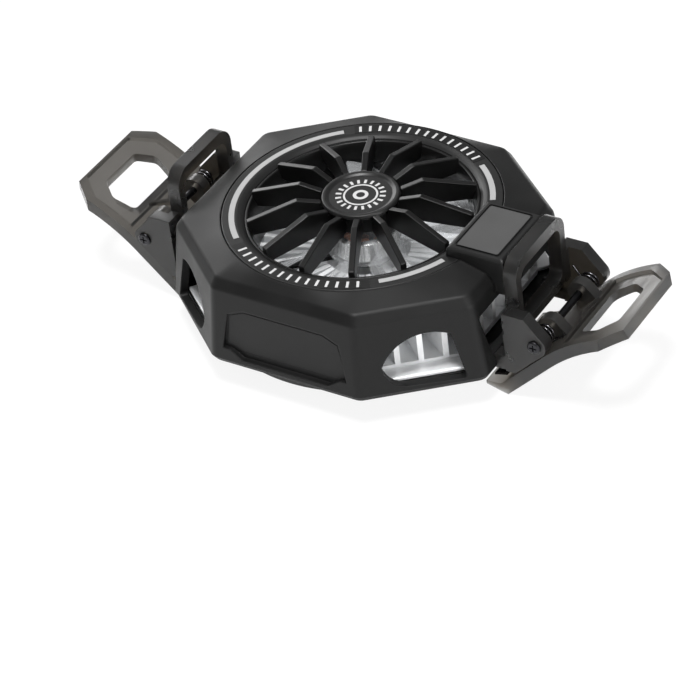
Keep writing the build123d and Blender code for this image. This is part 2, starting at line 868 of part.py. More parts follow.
with BuildPart() as grille_screws:
    with BuildSketch(Plane.XY.offset(ledge_low - screw_head_thick)):
        with PolarLocations(grille_screw_radius, 4, start_angle=grille_screw_start):
            Circle(screw_head_radius)
    extrude(amount=screw_head_thick)
    with BuildSketch(Plane.XY.offset(ledge_low)):
        with PolarLocations(grille_screw_radius, 4, start_angle=grille_screw_start):
            Circle(screw_radius)
    extrude(amount=flange_top - ledge_low)
save(grille_screws.part, "grille_screws")

with BuildPart() as medallion:
    with BuildSketch(Plane.XY.offset(hub_top)):
        Circle(medallion_radius)
    extrude(amount=medallion_top - hub_top)
    fillet(medallion.edges().sort_by(Axis.Z)[-1], medallion_sink)
    with BuildSketch(Plane.XY.offset(medallion_top)):
        Circle(medallion_radius - medallion_rim)
    extrude(amount=-medallion_sink, mode=Mode.SUBTRACT)
save(medallion.part, "grille_medallion")

# Bezel ring, its light strips and the board that lights them

led_board_top = flange_top + led_board_thick


def strips(play):
    """Plan of the light strips, wider all round by a play."""
    with BuildSketch() as bands:
        for strip_start, strip_turn in strip_arcs:
            add(arc_band(
                strip_radius - strip_width / 2 - play,
                strip_radius + strip_width / 2 + play,
                strip_start,
                strip_turn,
            ))
    return bands.sketch


with BuildPart() as bezel_ring:
    with BuildSketch(Plane.XY.offset(flange_top)):
        Circle(rim_radius - seat_gap)
        Circle(bezel_inner + fit, mode=Mode.SUBTRACT)
    extrude(amount=rim_height - flange_top)
    with BuildSketch(Plane.XY.offset(flange_top)):
        Circle(led_board_outer + fit)
        Circle(led_board_inner - fit, mode=Mode.SUBTRACT)
    extrude(amount=led_board_thick, mode=Mode.SUBTRACT)
    with BuildSketch(Plane.XY.offset(led_board_top)):
        add(strips(fit))
    extrude(amount=rim_height - led_board_top, mode=Mode.SUBTRACT)
save(bezel_ring.part, "bezel_ring")

with BuildPart() as led_board:
    with BuildSketch(Plane.XY.offset(flange_top)):
        Circle(led_board_outer)
        Circle(led_board_inner, mode=Mode.SUBTRACT)
    extrude(amount=led_board_thick)
save(led_board.part, "led_board")

with BuildPart() as light_strips:
    with BuildSketch(Plane.XY.offset(led_board_top)):
        add(strips(0))
    extrude(amount=rim_height + strip_proud - led_board_top)
save(light_strips.part, "light_strips")

# Display pod on the body's shoulder, its board and its window

window_seat = pod_top - display_sink - display_window_thick
board_seat = window_seat - display_board_thick

with BuildPart() as display_pod:
    with BuildSketch(Plane.XY.offset(pod_low)):
        with Locations(((pod_inner_end + pod_outer_end) / 2, 0)):
            Rectangle(pod_outer_end - pod_inner_end, 2 * pod_half_width)
    extrude(amount=pod_top - pod_low, taper=pod_taper)
    chamfer(display_pod.faces().sort_by(Axis.Z)[-1].edges(), pod_round)
    add(outer_form, mode=Mode.SUBTRACT)
    with BuildSketch(Plane.XY.offset(board_seat)):
        with Locations(((display_inner_end + display_outer_end) / 2, 0)):
            Rectangle(display_outer_end - display_inner_end, 2 * display_half_width)
    extrude(amount=pod_top - board_seat, mode=Mode.SUBTRACT)
save(display_pod.part, "display_pod")


def display_plate(seat, thick):
    """A plate that lies in the pod's pocket."""
    with BuildPart() as plate:
        with BuildSketch(Plane.XY.offset(seat)):
            with Locations(((display_inner_end + display_outer_end) / 2, 0)):
                Rectangle(display_outer_end - display_inner_end - 2 * fit, 2 * (display_half_width - fit))
        extrude(amount=thick)
    return plate.part


save(display_plate(board_seat, display_board_thick), "display_board")
save(display_plate(window_seat, display_window_thick), "display_window")

# Control board on edge behind the fins, with the USB-C inlet through the rear side

with BuildPart() as control_board:
    with BuildSketch(Plane.XZ.offset(-control_board_face)):
        with Locations((0, (cover_top + control_board_top) / 2)):
            Rectangle(2 * control_board_half, control_board_top - cover_top)
    extrude(amount=control_board_thick)
save(control_board.part, "control_board")

with BuildPart() as inlet_shell:
    with BuildSketch(Plane.XZ.offset(-inlet_end)):
        with Locations((0, inlet_height)):
            SlotOverall(inlet_width, inlet_thick)
            SlotOverall(inlet_width - 2 * inlet_wall, inlet_thick - 2 * inlet_wall, mode=Mode.SUBTRACT)
    extrude(amount=inlet_end - control_board_face)
save(inlet_shell.part, "inlet_shell")

with BuildPart() as inlet_tongue:
    with BuildSketch(Plane.XZ.offset(-inlet_end + tongue_setback)):
        with Locations((0, inlet_height)):
            Rectangle(tongue_width, tongue_thick)
    extrude(amount=inlet_end - tongue_setback - control_board_face)
save(inlet_tongue.part, "inlet_tongue")

# Bracket: an upright window frame, two cheeks for the hinge pin and two feet

with BuildPart() as cheek:
    with BuildSketch(Plane.XZ.offset(cheek_inner)):
        with BuildLine() as cheek_edges:
            Polyline(
                (wing_inner_face, cheek_low),
                (cheek_low_end, cheek_low),
                (cheek_top_end, cheek_top),
                (wing_inner_face, cheek_top),
                close=True,
            )
            CenterArc((hinge_x, hinge_z), cheek_lobe, 0, 360)
        make_hull(cheek_edges.edges())
    extrude(amount=cheek_outer - cheek_inner)
    with BuildSketch(Plane.XZ.offset(cheek_inner)):
        Polygon(
            (foot_half_length - wall, foot_low),
            (cheek_low_end, foot_low),
            (cheek_low_end, foot_top),
            (foot_half_length - wall, foot_top),
            align=None,
        )
    extrude(amount=cheek_outer - cheek_inner)

with BuildPart() as right_bracket:
    with BuildSketch(Plane.YZ.offset(bracket_inner_face)) as upright_outline:
        with Locations((0, (bracket_bar_low + bracket_top) / 2)):
            Rectangle(2 * bracket_half_width, bracket_top - bracket_bar_low)
        fillet(upright_outline.vertices().group_by(Axis.Z)[-1], bracket_round)
    extrude(amount=bracket_outer_face - bracket_inner_face)
    with BuildSketch(Plane.YZ.offset(bracket_inner_face)) as upright_window:
        with Locations((0, (frame_window_low + frame_window_top) / 2)):
            RectangleRounded(2 * frame_window_half, frame_window_top - frame_window_low, frame_window_round)
    extrude(amount=bracket_outer_face - bracket_inner_face, mode=Mode.SUBTRACT)
    wing_width = cheek_outer - wing_start
    with BuildSketch(Plane.YZ.offset(wing_inner_face)):
        with Locations(
            (-cheek_outer + wing_width / 2, (bracket_bar_low + cheek_top) / 2),
            (cheek_outer - wing_width / 2, (bracket_bar_low + cheek_top) / 2),
        ):
            Rectangle(wing_width, cheek_top - bracket_bar_low)
    extrude(amount=bracket_outer_face - wing_inner_face)
    for side in (cheek.part, mirror(cheek.part, about=Plane.XZ)):
        add(side)
    add(outer_form, mode=Mode.SUBTRACT)
    add(bracket_screw_bores.part, mode=Mode.SUBTRACT)
    with BuildSketch(Plane.XZ.offset(-cheek_outer)):
        with Locations((hinge_x, hinge_z)):
            Circle(pin_radius + pin_cheek_fit)
    extrude(amount=2 * cheek_outer, mode=Mode.SUBTRACT)
save(right_bracket.part, "right_bracket")
save(mirror(right_bracket.part, about=Plane.YZ), "left_bracket")

with BuildPart() as right_bracket_screws:
    with BuildSketch(Plane.YZ.offset(bracket_screw_seat - screw_head_thick)):
        with Locations(*bracket_screw_places):
            Circle(screw_head_radius)
    extrude(amount=screw_head_thick)
    with BuildSketch(Plane.YZ.offset(bracket_screw_seat)):
        with Locations(*bracket_screw_places):
            Circle(screw_radius)
    extrude(amount=bracket_screw_tip - bracket_screw_seat)
with BuildPart() as bracket_screws:
    for screws in both_sides(right_bracket_screws.part):
        add(screws)
save(bracket_screws.part, "bracket_screws")

# Hinge pins

with BuildPart() as right_pin:
    with BuildSketch(Plane.XZ.offset(-cheek_outer)):
        with Locations((hinge_x, hinge_z)):
            Circle(pin_radius)
    extrude(amount=2 * cheek_outer)
    with BuildSketch(Plane.XZ.offset(cheek_outer)):
        with Locations((hinge_x, hinge_z)):
            Circle(pin_head_radius)
    extrude(amount=pin_head_thick)
    chamfer(right_pin.faces().sort_by(Axis.Y)[0].edges(), pin_head_thick / 3)
save(right_pin.part, "right_hinge_pin")
save(mirror(right_pin.part, about=Plane.YZ), "left_hinge_pin")

# Claw: a bent lever plate with a jaw lip, an open finger loop and two hinge barrels

rise = radians(claw_rise)
along = (cos(rise), sin(rise))
across = (-sin(rise), cos(rise))


def lever_point(distance, height):
    """Point of the lever's straight part, along it from the foot and above its underside."""
    return (
        claw_foot_x + along[0] * distance + across[0] * height,
        claw_foot_z + along[1] * distance + across[1] * height,
    )


def lever_band(low, high):
    """Side view of the lever between two heights above its underside."""
    with BuildSketch() as band:
        with BuildLine():
            low_arc = JernArc(lever_point(claw_straight, low), along, claw_bend_radius + low, -claw_bend)
            high_arc = JernArc(lever_point(claw_straight, high), along, claw_bend_radius + high, -claw_bend)
            Line(low_arc @ 1, high_arc @ 1)
            Line(lever_point(0, low), low_arc @ 0)
            Line(lever_point(0, high), high_arc @ 0)
            Line(lever_point(0, low), lever_point(0, high))
        make_face()
    return band.sketch


def plan_polygon(half_outline):
    """A plan symmetric front to rear from the points of its rear half, in the open sketch."""
    Polygon(*half_outline, *[(x, -y) for x, y in reversed(half_outline)], align=None)


hole_plan = [(hole_start, hole_half_start), (hole_wide_x, hole_half_wide), (hole_end, hole_half_end)]
claw_plan = [
    (lip_tip_x, lip_tip_half),
    (claw_foot_x, claw_half_width),
    (loop_corner_x, claw_half_width),
    (loop_end, loop_end_half),
]
claw_floor = 2 * claw_foot_z
claw_ceiling = bracket_top

with BuildPart() as loop_recess:
    with BuildSketch(Plane.XZ):
        add(lever_band(claw_thick - loop_rim_sink, claw_thick + loop_rim_sink))
    extrude(amount=claw_half_width, both=True)
    with BuildSketch(Plane.XY.offset(claw_floor)):
        plan_polygon([
            (loop_rim_start, claw_half_width - loop_rim_width),
            (loop_corner_x - loop_rim_width / 2, claw_half_width - loop_rim_width),
            (loop_end - loop_rim_width, loop_end_half - loop_rim_width / 2),
        ])
    extrude(amount=claw_ceiling - claw_floor, mode=Mode.INTERSECT)

with BuildPart() as stiffening_ribs:
    with BuildSketch(Plane.XZ):
        add(lever_band(claw_thick / 2, claw_thick + rib_height))
    extrude(amount=claw_half_width, both=True)
    with BuildSketch(Plane.XY.offset(claw_floor)):
        for side in (-1, 1):
            Polygon(
                (rib_start, 0),
                (rib_end, side * rib_spread),
                (rib_end, side * (rib_spread - rib_width)),
                (rib_start + rib_width, 0),
                align=None,
            )
    extrude(amount=claw_ceiling - claw_floor, mode=Mode.INTERSECT)

with BuildPart() as right_claw:
    with BuildSketch(Plane.XZ):
        add(lever_band(0, claw_thick))
        Polygon(
            (claw_foot_x, claw_foot_z),
            (lip_tip_x, claw_foot_z),
            (lip_tip_x, claw_foot_z + lip_tip_thick),
            lever_point(0, claw_thick),
            align=None,
        )
    extrude(amount=claw_half_width, both=True)
    with BuildSketch(Plane.XY.offset(claw_floor)):
        plan_polygon(claw_plan)
    extrude(amount=claw_ceiling - claw_floor, mode=Mode.INTERSECT)
    with BuildSketch(Plane.XY.offset(claw_floor)) as hole_outline:
        plan_polygon(hole_plan)
        fillet(hole_outline.vertices(), hole_round)
    extrude(amount=claw_ceiling - claw_floor, mode=Mode.SUBTRACT)
    add(loop_recess.part, mode=Mode.SUBTRACT)
    add(stiffening_ribs.part)
    for place in (-barrel_outer, barrel_inner):
        with BuildSketch(Plane.XZ.offset(place)):
            with Locations((hinge_x, hinge_z)):
                Circle(barrel_radius)
            Polygon(
                (hinge_x + along[0] * barrel_radius, hinge_z + along[1] * barrel_radius),
                (hinge_x - along[0] * barrel_radius, hinge_z - along[1] * barrel_radius),
                (
                    hinge_x - along[0] * barrel_radius - across[0] * (barrel_radius + claw_thick / 2),
                    hinge_z - along[1] * barrel_radius - across[1] * (barrel_radius + claw_thick / 2),
                ),
                (
                    hinge_x + along[0] * barrel_radius - across[0] * (barrel_radius + claw_thick / 2),
                    hinge_z + along[1] * barrel_radius - across[1] * (barrel_radius + claw_thick / 2),
                ),
                align=None,
            )
        extrude(amount=barrel_outer - barrel_inner)
    with BuildSketch(Plane.XZ.offset(-barrel_outer)):
        with Locations((hinge_x, hinge_z)):
            Circle(pin_radius + fit)
    extrude(amount=2 * barrel_outer, mode=Mode.SUBTRACT)
save(right_claw.part, "right_claw")
save(mirror(right_claw.part, about=Plane.YZ), "left_claw")

# Rubber pads on the jaw lips

lip_inner_x, lip_inner_z = lever_point(0, claw_thick)
lip_slope = (lip_inner_z - claw_foot_z - lip_tip_thick) / (lip_inner_x - lip_tip_x)

with BuildPart() as right_pad:
    with BuildSketch(Plane.XZ):
        pad_start = lip_tip_x + lip_tip_thick
        pad_start_z = claw_foot_z + lip_tip_thick + lip_slope * lip_tip_thick
        Polygon(
            (pad_start, pad_start_z),
            (lip_inner_x, lip_inner_z),
            (lip_inner_x, lip_inner_z + pad_thick),
            (pad_start, pad_start_z + pad_thick),
            align=None,
        )
    extrude(amount=pad_half_width, both=True)
save(right_pad.part, "right_jaw_pad")
save(mirror(right_pad.part, about=Plane.YZ), "left_jaw_pad")

# Torsion springs: a coil round the pin, one leg on the claw and one towards the bracket

spring_turns = spring_quarter_turns / 4
spring_start = (barrel_outer + cheek_inner - spring_turns * spring_pitch) / 2


def coil_point(turn):
    """Point of the coil after a number of turns, and its direction there."""
    angle = radians(claw_rise - spring_leg_tilt - 90) - 2 * pi * turn
    point = Vector(
        hinge_x + spring_radius * cos(angle),
        -spring_start - spring_pitch * turn,
        hinge_z + spring_radius * sin(angle),
    )
    heading = Vector(2 * pi * spring_radius * sin(angle), -spring_pitch, -2 * pi * spring_radius * cos(angle))
    return point, heading.normalized()


def biarc(start, start_heading, end, end_heading):
    """Two arcs that meet smoothly between two points and their directions."""
    chord = end - start
    headings = start_heading + end_heading
    spread = 4 - headings.dot(headings)
    reach = (sqrt(chord.dot(headings) ** 2 + spread * chord.dot(chord)) - chord.dot(headings)) / spread
    middle = (start + start_heading * reach + end - end_heading * reach) / 2
    middle_heading = (end - end_heading * reach - start - start_heading * reach).normalized()
    return (
        Edge.make_tangent_arc(start, start_heading, middle),
        Edge.make_tangent_arc(middle, middle_heading, end),
    )


first, first_heading = coil_point(0)
last, last_heading = coil_point(spring_turns)

with BuildPart() as spring:
    with BuildLine() as spring_path:
        Line(first - first_heading * spring_claw_leg, first)
        for quarter in range(spring_quarter_turns):
            for arc in biarc(*coil_point(quarter / 4), *coil_point((quarter + 1) / 4)):
                add(arc)
        Line(last, last + last_heading * spring_bracket_leg)
    with BuildSketch(Plane(origin=spring_path.line @ 0, z_dir=spring_path.line % 0)):
        RegularPolygon(wire / 2, wire_sides)
    sweep()
save(spring.part, "right_front_spring")
save(mirror(spring.part, about=Plane.XZ), "right_rear_spring")
save(mirror(spring.part, about=Plane.YZ), "left_front_spring")
save(spring.part.rotate(Axis.Z, 180), "left_rear_spring")

# The least gap between neighbouring turns, measured on points of the coil

samples_per_turn = 36
sample_count = round(spring_turns * samples_per_turn) + 1
coil_samples = [coil_point(index / samples_per_turn)[0] for index in range(sample_count)]
least_gap = min(
    (a - b).length - wire
    for index, a in enumerate(coil_samples)
    for b in coil_samples[index + samples_per_turn // 2:]
)
print(f"spring: least gap between turns {least_gap:.3f} mm")
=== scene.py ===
from math import cos, pi, radians, sin

import bpy
from mathutils import Matrix, Vector


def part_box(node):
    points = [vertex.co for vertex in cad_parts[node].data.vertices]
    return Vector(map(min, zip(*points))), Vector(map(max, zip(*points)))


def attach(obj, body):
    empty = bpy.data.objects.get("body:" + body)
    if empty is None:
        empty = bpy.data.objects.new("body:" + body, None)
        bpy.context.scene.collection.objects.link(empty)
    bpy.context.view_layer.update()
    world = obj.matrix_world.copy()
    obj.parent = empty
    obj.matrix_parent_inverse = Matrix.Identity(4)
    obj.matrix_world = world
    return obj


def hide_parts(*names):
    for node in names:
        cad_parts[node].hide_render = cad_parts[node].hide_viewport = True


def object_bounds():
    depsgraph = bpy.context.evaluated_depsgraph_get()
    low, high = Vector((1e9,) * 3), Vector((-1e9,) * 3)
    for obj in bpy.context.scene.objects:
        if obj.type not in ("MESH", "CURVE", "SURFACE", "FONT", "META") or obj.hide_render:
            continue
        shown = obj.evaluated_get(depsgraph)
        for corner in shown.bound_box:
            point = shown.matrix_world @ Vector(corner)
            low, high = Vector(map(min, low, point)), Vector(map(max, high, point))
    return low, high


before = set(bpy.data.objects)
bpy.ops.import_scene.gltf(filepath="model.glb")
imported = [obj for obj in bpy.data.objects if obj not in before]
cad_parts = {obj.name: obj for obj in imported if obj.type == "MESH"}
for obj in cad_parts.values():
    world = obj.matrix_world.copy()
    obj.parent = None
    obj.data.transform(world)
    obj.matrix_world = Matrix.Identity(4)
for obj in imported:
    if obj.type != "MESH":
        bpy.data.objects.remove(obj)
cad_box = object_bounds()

# Contact ring
# The soft ring that lies on the phone round the cold plate: moulded silicone with shallow
# round grooves, pressed over the foot of the housing.


def pick(piece):
    """Select one piece alone and make it the active one."""
    bpy.ops.object.select_all(action="DESELECT")
    piece.select_set(True)
    bpy.context.view_layer.objects.active = piece


def close_up(merge_gap):
    """Merge the doubles of the mesh in edit mode, face it outwards and leave edit mode."""
    bpy.ops.mesh.select_all(action="SELECT")
    bpy.ops.mesh.remove_doubles(threshold=merge_gap)
    bpy.ops.mesh.normals_make_consistent(inside=False)
    bpy.ops.object.mode_set(mode="OBJECT")


def turned(name, section, steps):
    """A piece turned about the fan axis from its section, a closed row of (radius, height)."""
    bpy.ops.object.select_all(action="DESELECT")
    bpy.ops.mesh.primitive_circle_add(vertices=len(section))
    piece = bpy.context.object
    piece.name = name
    for vertex, (radius, height) in zip(piece.data.vertices, section):
        vertex.co = (radius, 0, height)
    bpy.ops.object.mode_set(mode="EDIT")
    bpy.ops.mesh.select_all(action="SELECT")
    bpy.ops.mesh.spin(steps=steps, angle=2 * pi, center=(0, 0, 0), axis=(0, 0, 1))
    close_up(merge_gap=1e-6)
    return piece


def round_edges(piece, radius, segments=2, sharpness=30):
    """Round the edges that are sharper than an angle in degrees, and shade the rest smooth."""
    pick(piece)
    bpy.ops.object.shade_smooth_by_angle(angle=radians(sharpness))
    bevel = piece.modifiers.new("edges", "BEVEL")
    bevel.width = radius
    bevel.segments = segments
    bevel.angle_limit = radians(sharpness)
    bevel.harden_normals = True
    bpy.ops.object.modifier_apply(modifier=bevel.name)
    return piece


def finish_base(name):
    """A new finish with its node tree, its shader and the object's own coordinates."""
    finish = bpy.data.materials.new(name)
    finish.use_nodes = True
    tree = finish.node_tree
    place = tree.nodes.new("ShaderNodeTexCoord").outputs["Object"]
    return finish, tree, tree.nodes["Principled BSDF"], place


def grain(tree, place, size, detail):
    """Noise with lumps of a size in metres."""
    noise = tree.nodes.new("ShaderNodeTexNoise")
    noise.inputs["Scale"].default_value = 1 / size
    noise.inputs["Detail"].default_value = detail
    tree.links.new(place, noise.inputs["Vector"])
    return noise.outputs[0]


noise_low = 0.3
noise_high = 0.7


def spread(tree, factor, low, high, socket):
    """Drive a socket from low to high over the range that a noise mostly keeps to."""
    between = tree.nodes.new("ShaderNodeMapRange")
    between.inputs["From Min"].default_value = noise_low
    between.inputs["From Max"].default_value = noise_high
    between.inputs["To Min"].default_value = low
    between.inputs["To Max"].default_value = high
    tree.links.new(factor, between.inputs["Value"])
    tree.links.new(between.outputs["Result"], socket)


def shade_between(tree, factor, dark, light, socket):
    """Drive a colour socket between two colours over the same range of a noise."""
    ramp = tree.nodes.new("ShaderNodeValToRGB")
    ramp.color_ramp.elements[0].position = noise_low
    ramp.color_ramp.elements[0].color = (*dark, 1)
    ramp.color_ramp.elements[1].position = noise_high
    ramp.color_ramp.elements[1].color = (*light, 1)
    tree.links.new(factor, ramp.inputs["Fac"])
    tree.links.new(ramp.outputs["Color"], socket)


def relief(tree, height, depth, shader):
    """Raise the surface by a height pattern of a depth in metres."""
    bump = tree.nodes.new("ShaderNodeBump")
    bump.inputs["Distance"].default_value = depth
    tree.links.new(height, bump.inputs["Height"])
    tree.links.new(bump.outputs["Normal"], shader.inputs["Normal"])
    return bump


def moulded(name, dark, light, gloss, shine=0.5,
            grain_size=0.00018, grain_depth=0.00001, soft_edge=0.0):
    """Moulded plastic or rubber: fine spark grain, and faint clouds in colour and gloss.
    A soft edge is the radius in metres by which the light sees sharp edges rounded."""
    finish, tree, shader, place = finish_base(name)
    clouds = grain(tree, place, size=0.009, detail=3.0)
    fine = grain(tree, place, size=grain_size, detail=1.0)
    shade_between(tree, clouds, [dark] * 3, [light] * 3, shader.inputs["Base Color"])
    spread(tree, clouds, *gloss, shader.inputs["Roughness"])
    bump = relief(tree, fine, grain_depth, shader)
    shader.inputs["Specular IOR Level"].default_value = shine
    if soft_edge:
        rolled = tree.nodes.new("ShaderNodeBevel")
        rolled.samples = 6
        rolled.inputs["Radius"].default_value = soft_edge
        tree.links.new(rolled.outputs["Normal"], bump.inputs["Normal"])
    return finish


def wear(piece, finish):
    """Put one finish on a whole piece."""
    piece.data.materials.clear()
    piece.data.materials.append(finish)
    return piece


ring_low, ring_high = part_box("contact_ring")
ring_outer = ring_high.x
ring_inner = 0.0214
ring_bevel = 0.0004
ring_edge = 0.0001
groove_count = 4
groove_depth = 0.0002
groove_width = 0.0006
groove_pitch = (ring_outer - ring_inner) / (groove_count + 1)

ring_section = [
    (ring_inner, ring_high.z),
    (ring_inner, ring_low.z + ring_bevel),
    (ring_inner + ring_bevel, ring_low.z),
]
for groove in range(groove_count):
    groove_middle = ring_inner + groove_pitch * (groove + 1)
    ring_section += [
        (groove_middle - groove_width, ring_low.z),
        (groove_middle - groove_width / 2, ring_low.z + groove_depth),
        (groove_middle + groove_width / 2, ring_low.z + groove_depth),
        (groove_middle + groove_width, ring_low.z),
    ]
ring_section += [
    (ring_outer - ring_bevel, ring_low.z),
    (ring_outer, ring_low.z + ring_bevel),
    (ring_outer, ring_high.z),
]

contact_rubber = moulded("contact_rubber", dark=0.02, light=0.028, gloss=(0.55, 0.7), shine=0.3)
contact_pad = wear(turned("contact_pad", ring_section, steps=128), contact_rubber)
round_edges(contact_pad, ring_edge, segments=1)
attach(contact_pad, "cooler")
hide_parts("contact_ring")

# Cold plate and cooling module
# A turned aluminium disc that touches the phone, and behind it the white ceramic cooling
# module in its ring of closed-cell foam.


def dress(finish, *names):
    """Put a finish on the material slots of modelled nodes that stay as they are."""
    for name in names:
        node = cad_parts[name]
        if not node.material_slots:
            node.data.materials.append(finish)
        for slot in node.material_slots:
            slot.material = finish


def dimmed(colour, share):
    """A colour darkened to a share of itself."""
    return [part * share for part in colour]


def turned_metal(name, colour, gloss, radian_step, depth):
    """Metal faced on a lathe: fine rings about the fan axis, of a radial step in metres for
    each radian of their wave."""
    finish, tree, shader, place = finish_base(name)
    radians_at_scale_one = 20
    rings = tree.nodes.new("ShaderNodeTexWave")
    rings.wave_type = "RINGS"
    rings.rings_direction = "Z"
    rings.inputs["Scale"].default_value = 1 / (radians_at_scale_one * radian_step)
    rings.inputs["Distortion"].default_value = 0.6
    tree.links.new(place, rings.inputs["Vector"])
    clouds = grain(tree, place, size=0.008, detail=2.0)
    shade_between(tree, clouds, dimmed(colour, 0.92), colour, shader.inputs["Base Color"])
    spread(tree, rings.outputs[1], *gloss, shader.inputs["Roughness"])
    relief(tree, rings.outputs[1], depth, shader)
    shader.inputs["Metallic"].default_value = 1.0
    return finish


def flat_ring(name, inner, outer, low, high, steps):
    """A ring of square section about the fan axis, or a disc where its inner radius is 0."""
    return turned(name, [(inner, low), (outer, low), (outer, high), (inner, high)], steps)


cold_plate_metal = turned_metal(
    "cold_plate_metal", colour=(0.72, 0.73, 0.74), gloss=(0.22, 0.34), radian_step=0.0002, depth=0.000004)
alumina_ceramic = moulded("alumina_ceramic", dark=0.76, light=0.82, gloss=(0.35, 0.5))
closed_cell_foam = moulded(
    "closed_cell_foam", dark=0.04, light=0.07, gloss=(0.85, 0.95), shine=0.2,
    grain_size=0.0005, grain_depth=0.0001)
dress(cold_plate_metal, "cold_plate")
dress(alumina_ceramic, "peltier_module")

foam_low, foam_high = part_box("insulation_ring")
foam_inner = 0.0164
foam_edge = 0.0002
foam_ring = flat_ring("foam_ring", foam_inner, foam_high.x, foam_low.z, foam_high.z, steps=64)
wear(foam_ring, closed_cell_foam)
round_edges(foam_ring, foam_edge)
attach(foam_ring, "cooler")
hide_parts("insulation_ring")

# Base cover and magnets
# The moulded plate that closes the foot, with sixteen nickel-plated magnets sunk under the
# contact ring and eight countersunk screws. Every screw is of the same blackened steel.


def metal(name, colour, gloss, streak, streak_depth, along="Z", metallic=1.0):
    """Bare metal with fine streaks of a width in metres, drawn out along one axis."""
    finish, tree, shader, place = finish_base(name)
    drawn_scale = 0.04
    stretch = tree.nodes.new("ShaderNodeMapping")
    stretch.inputs["Scale"].default_value = [drawn_scale if axis == along else 1.0 for axis in "XYZ"]
    tree.links.new(place, stretch.inputs["Vector"])
    streaks = grain(tree, stretch.outputs["Vector"], size=streak, detail=3.0)
    clouds = grain(tree, place, size=0.006, detail=2.0)
    shade_between(tree, clouds, dimmed(colour, 0.9), colour, shader.inputs["Base Color"])
    spread(tree, streaks, *gloss, shader.inputs["Roughness"])
    relief(tree, streaks, streak_depth, shader)
    shader.inputs["Metallic"].default_value = metallic
    return finish


housing_plastic = moulded(
    "housing_plastic", dark=0.0045, light=0.006, gloss=(0.44, 0.52), shine=0.2, soft_edge=0.0004)
nickel = metal(
    "nickel_plate", colour=(0.62, 0.61, 0.58), gloss=(0.2, 0.3), streak=0.0004, streak_depth=0.000002)
blackened_steel = metal(
    "blackened_steel", colour=(0.035, 0.035, 0.038), gloss=(0.25, 0.4), streak=0.0003,
    streak_depth=0.000002)
dress(housing_plastic, "base_cover")
dress(nickel, "base_magnets", "rotor_magnet")
dress(blackened_steel, "base_screws", "heat_sink_screws", "grille_screws", "bracket_screws")

# Heat sink
# One aluminium casting with forty-two radial fins, bright where the vent windows show it. A
# polished skirt strip at the foot of the fins closes the bottom of each corner window.


def block(name, middle, size, turn=0.0):
    """A block of a size about its middle, turned about the vertical."""
    bpy.ops.object.select_all(action="DESELECT")
    bpy.ops.mesh.primitive_cube_add(size=1, location=middle)
    piece = bpy.context.object
    piece.name = name
    piece.scale = size
    piece.rotation_euler.z = turn
    bpy.ops.object.transform_apply(location=True, rotation=True, scale=True)
    return piece


fin_aluminium = metal(
    "fin_aluminium", colour=(0.94, 0.95, 0.96), gloss=(0.32, 0.46), streak=0.0006,
    streak_depth=0.000004, metallic=0.3)
dress(fin_aluminium, "heat_sink")

skirt_long = 0.0192
skirt_wide = 0.0037
skirt_thick = 0.0009
skirt_edge = 0.0003
skirt_low = 0.00365
skirt_x = 0.02466
skirt_y = 0.02292
corner_slope = radians(39.07)
skirt_size = (skirt_long, skirt_wide, skirt_thick)
for corner, (side_x, side_y) in enumerate(((1, -1), (1, 1), (-1, 1), (-1, -1)), 1):
    skirt_middle = (side_x * skirt_x, side_y * skirt_y, skirt_low + skirt_thick / 2)
    skirt_turn = -side_x * side_y * corner_slope
    skirt = block(f"heat_sink_skirt_{corner}", skirt_middle, skirt_size, skirt_turn)
    wear(skirt, fin_aluminium)
    round_edges(skirt, skirt_edge, segments=3)
    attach(skirt, "cooler")

# Fan motor
# Six teeth wound with copper wire on a board, round a bronze bush. A ring magnet sits in an
# open steel yoke that shows as a bright ring through the clear hub.


def joined(pieces, name):
    """Several pieces made one."""
    bpy.ops.object.select_all(action="DESELECT")
    for piece in pieces:
        piece.select_set(True)
    bpy.context.view_layer.objects.active = pieces[0]
    bpy.ops.object.join()
    pieces[0].name = name
    return pieces[0]


def ring_of(piece, count, start, name):
    """Copies of a piece round the fan axis, joined into one."""
    turns = [start + 2 * pi * index / count for index in range(count)]
    copies = []
    for turn in turns[1:]:
        copy = piece.copy()
        copy.data = piece.data.copy()
        copy.data.transform(Matrix.Rotation(turn, 4, "Z"))
        bpy.context.collection.objects.link(copy)
        copies.append(copy)
    piece.data.transform(Matrix.Rotation(turns[0], 4, "Z"))
    return joined([piece] + copies, name)


def wire_run(name, points, thick, roundness):
    """Round wire along a row of points, with its ends closed."""
    bpy.ops.object.select_all(action="DESELECT")
    bpy.ops.curve.primitive_nurbs_path_add()
    path = bpy.context.object
    path.data.splines.clear()
    line = path.data.splines.new("POLY")
    line.points.add(len(points) - 1)
    for point, place in zip(line.points, points):
        point.co = (*place, 1)
    path.data.dimensions = "3D"
    path.data.bevel_depth = thick / 2
    path.data.bevel_resolution = roundness
    path.data.use_fill_caps = True
    bpy.ops.object.convert(target="MESH")
    piece = bpy.context.object
    piece.name = name
    bpy.ops.object.mode_set(mode="EDIT")
    close_up(merge_gap=1e-7)
    bpy.ops.object.shade_smooth_by_angle(angle=radians(60))
    return piece


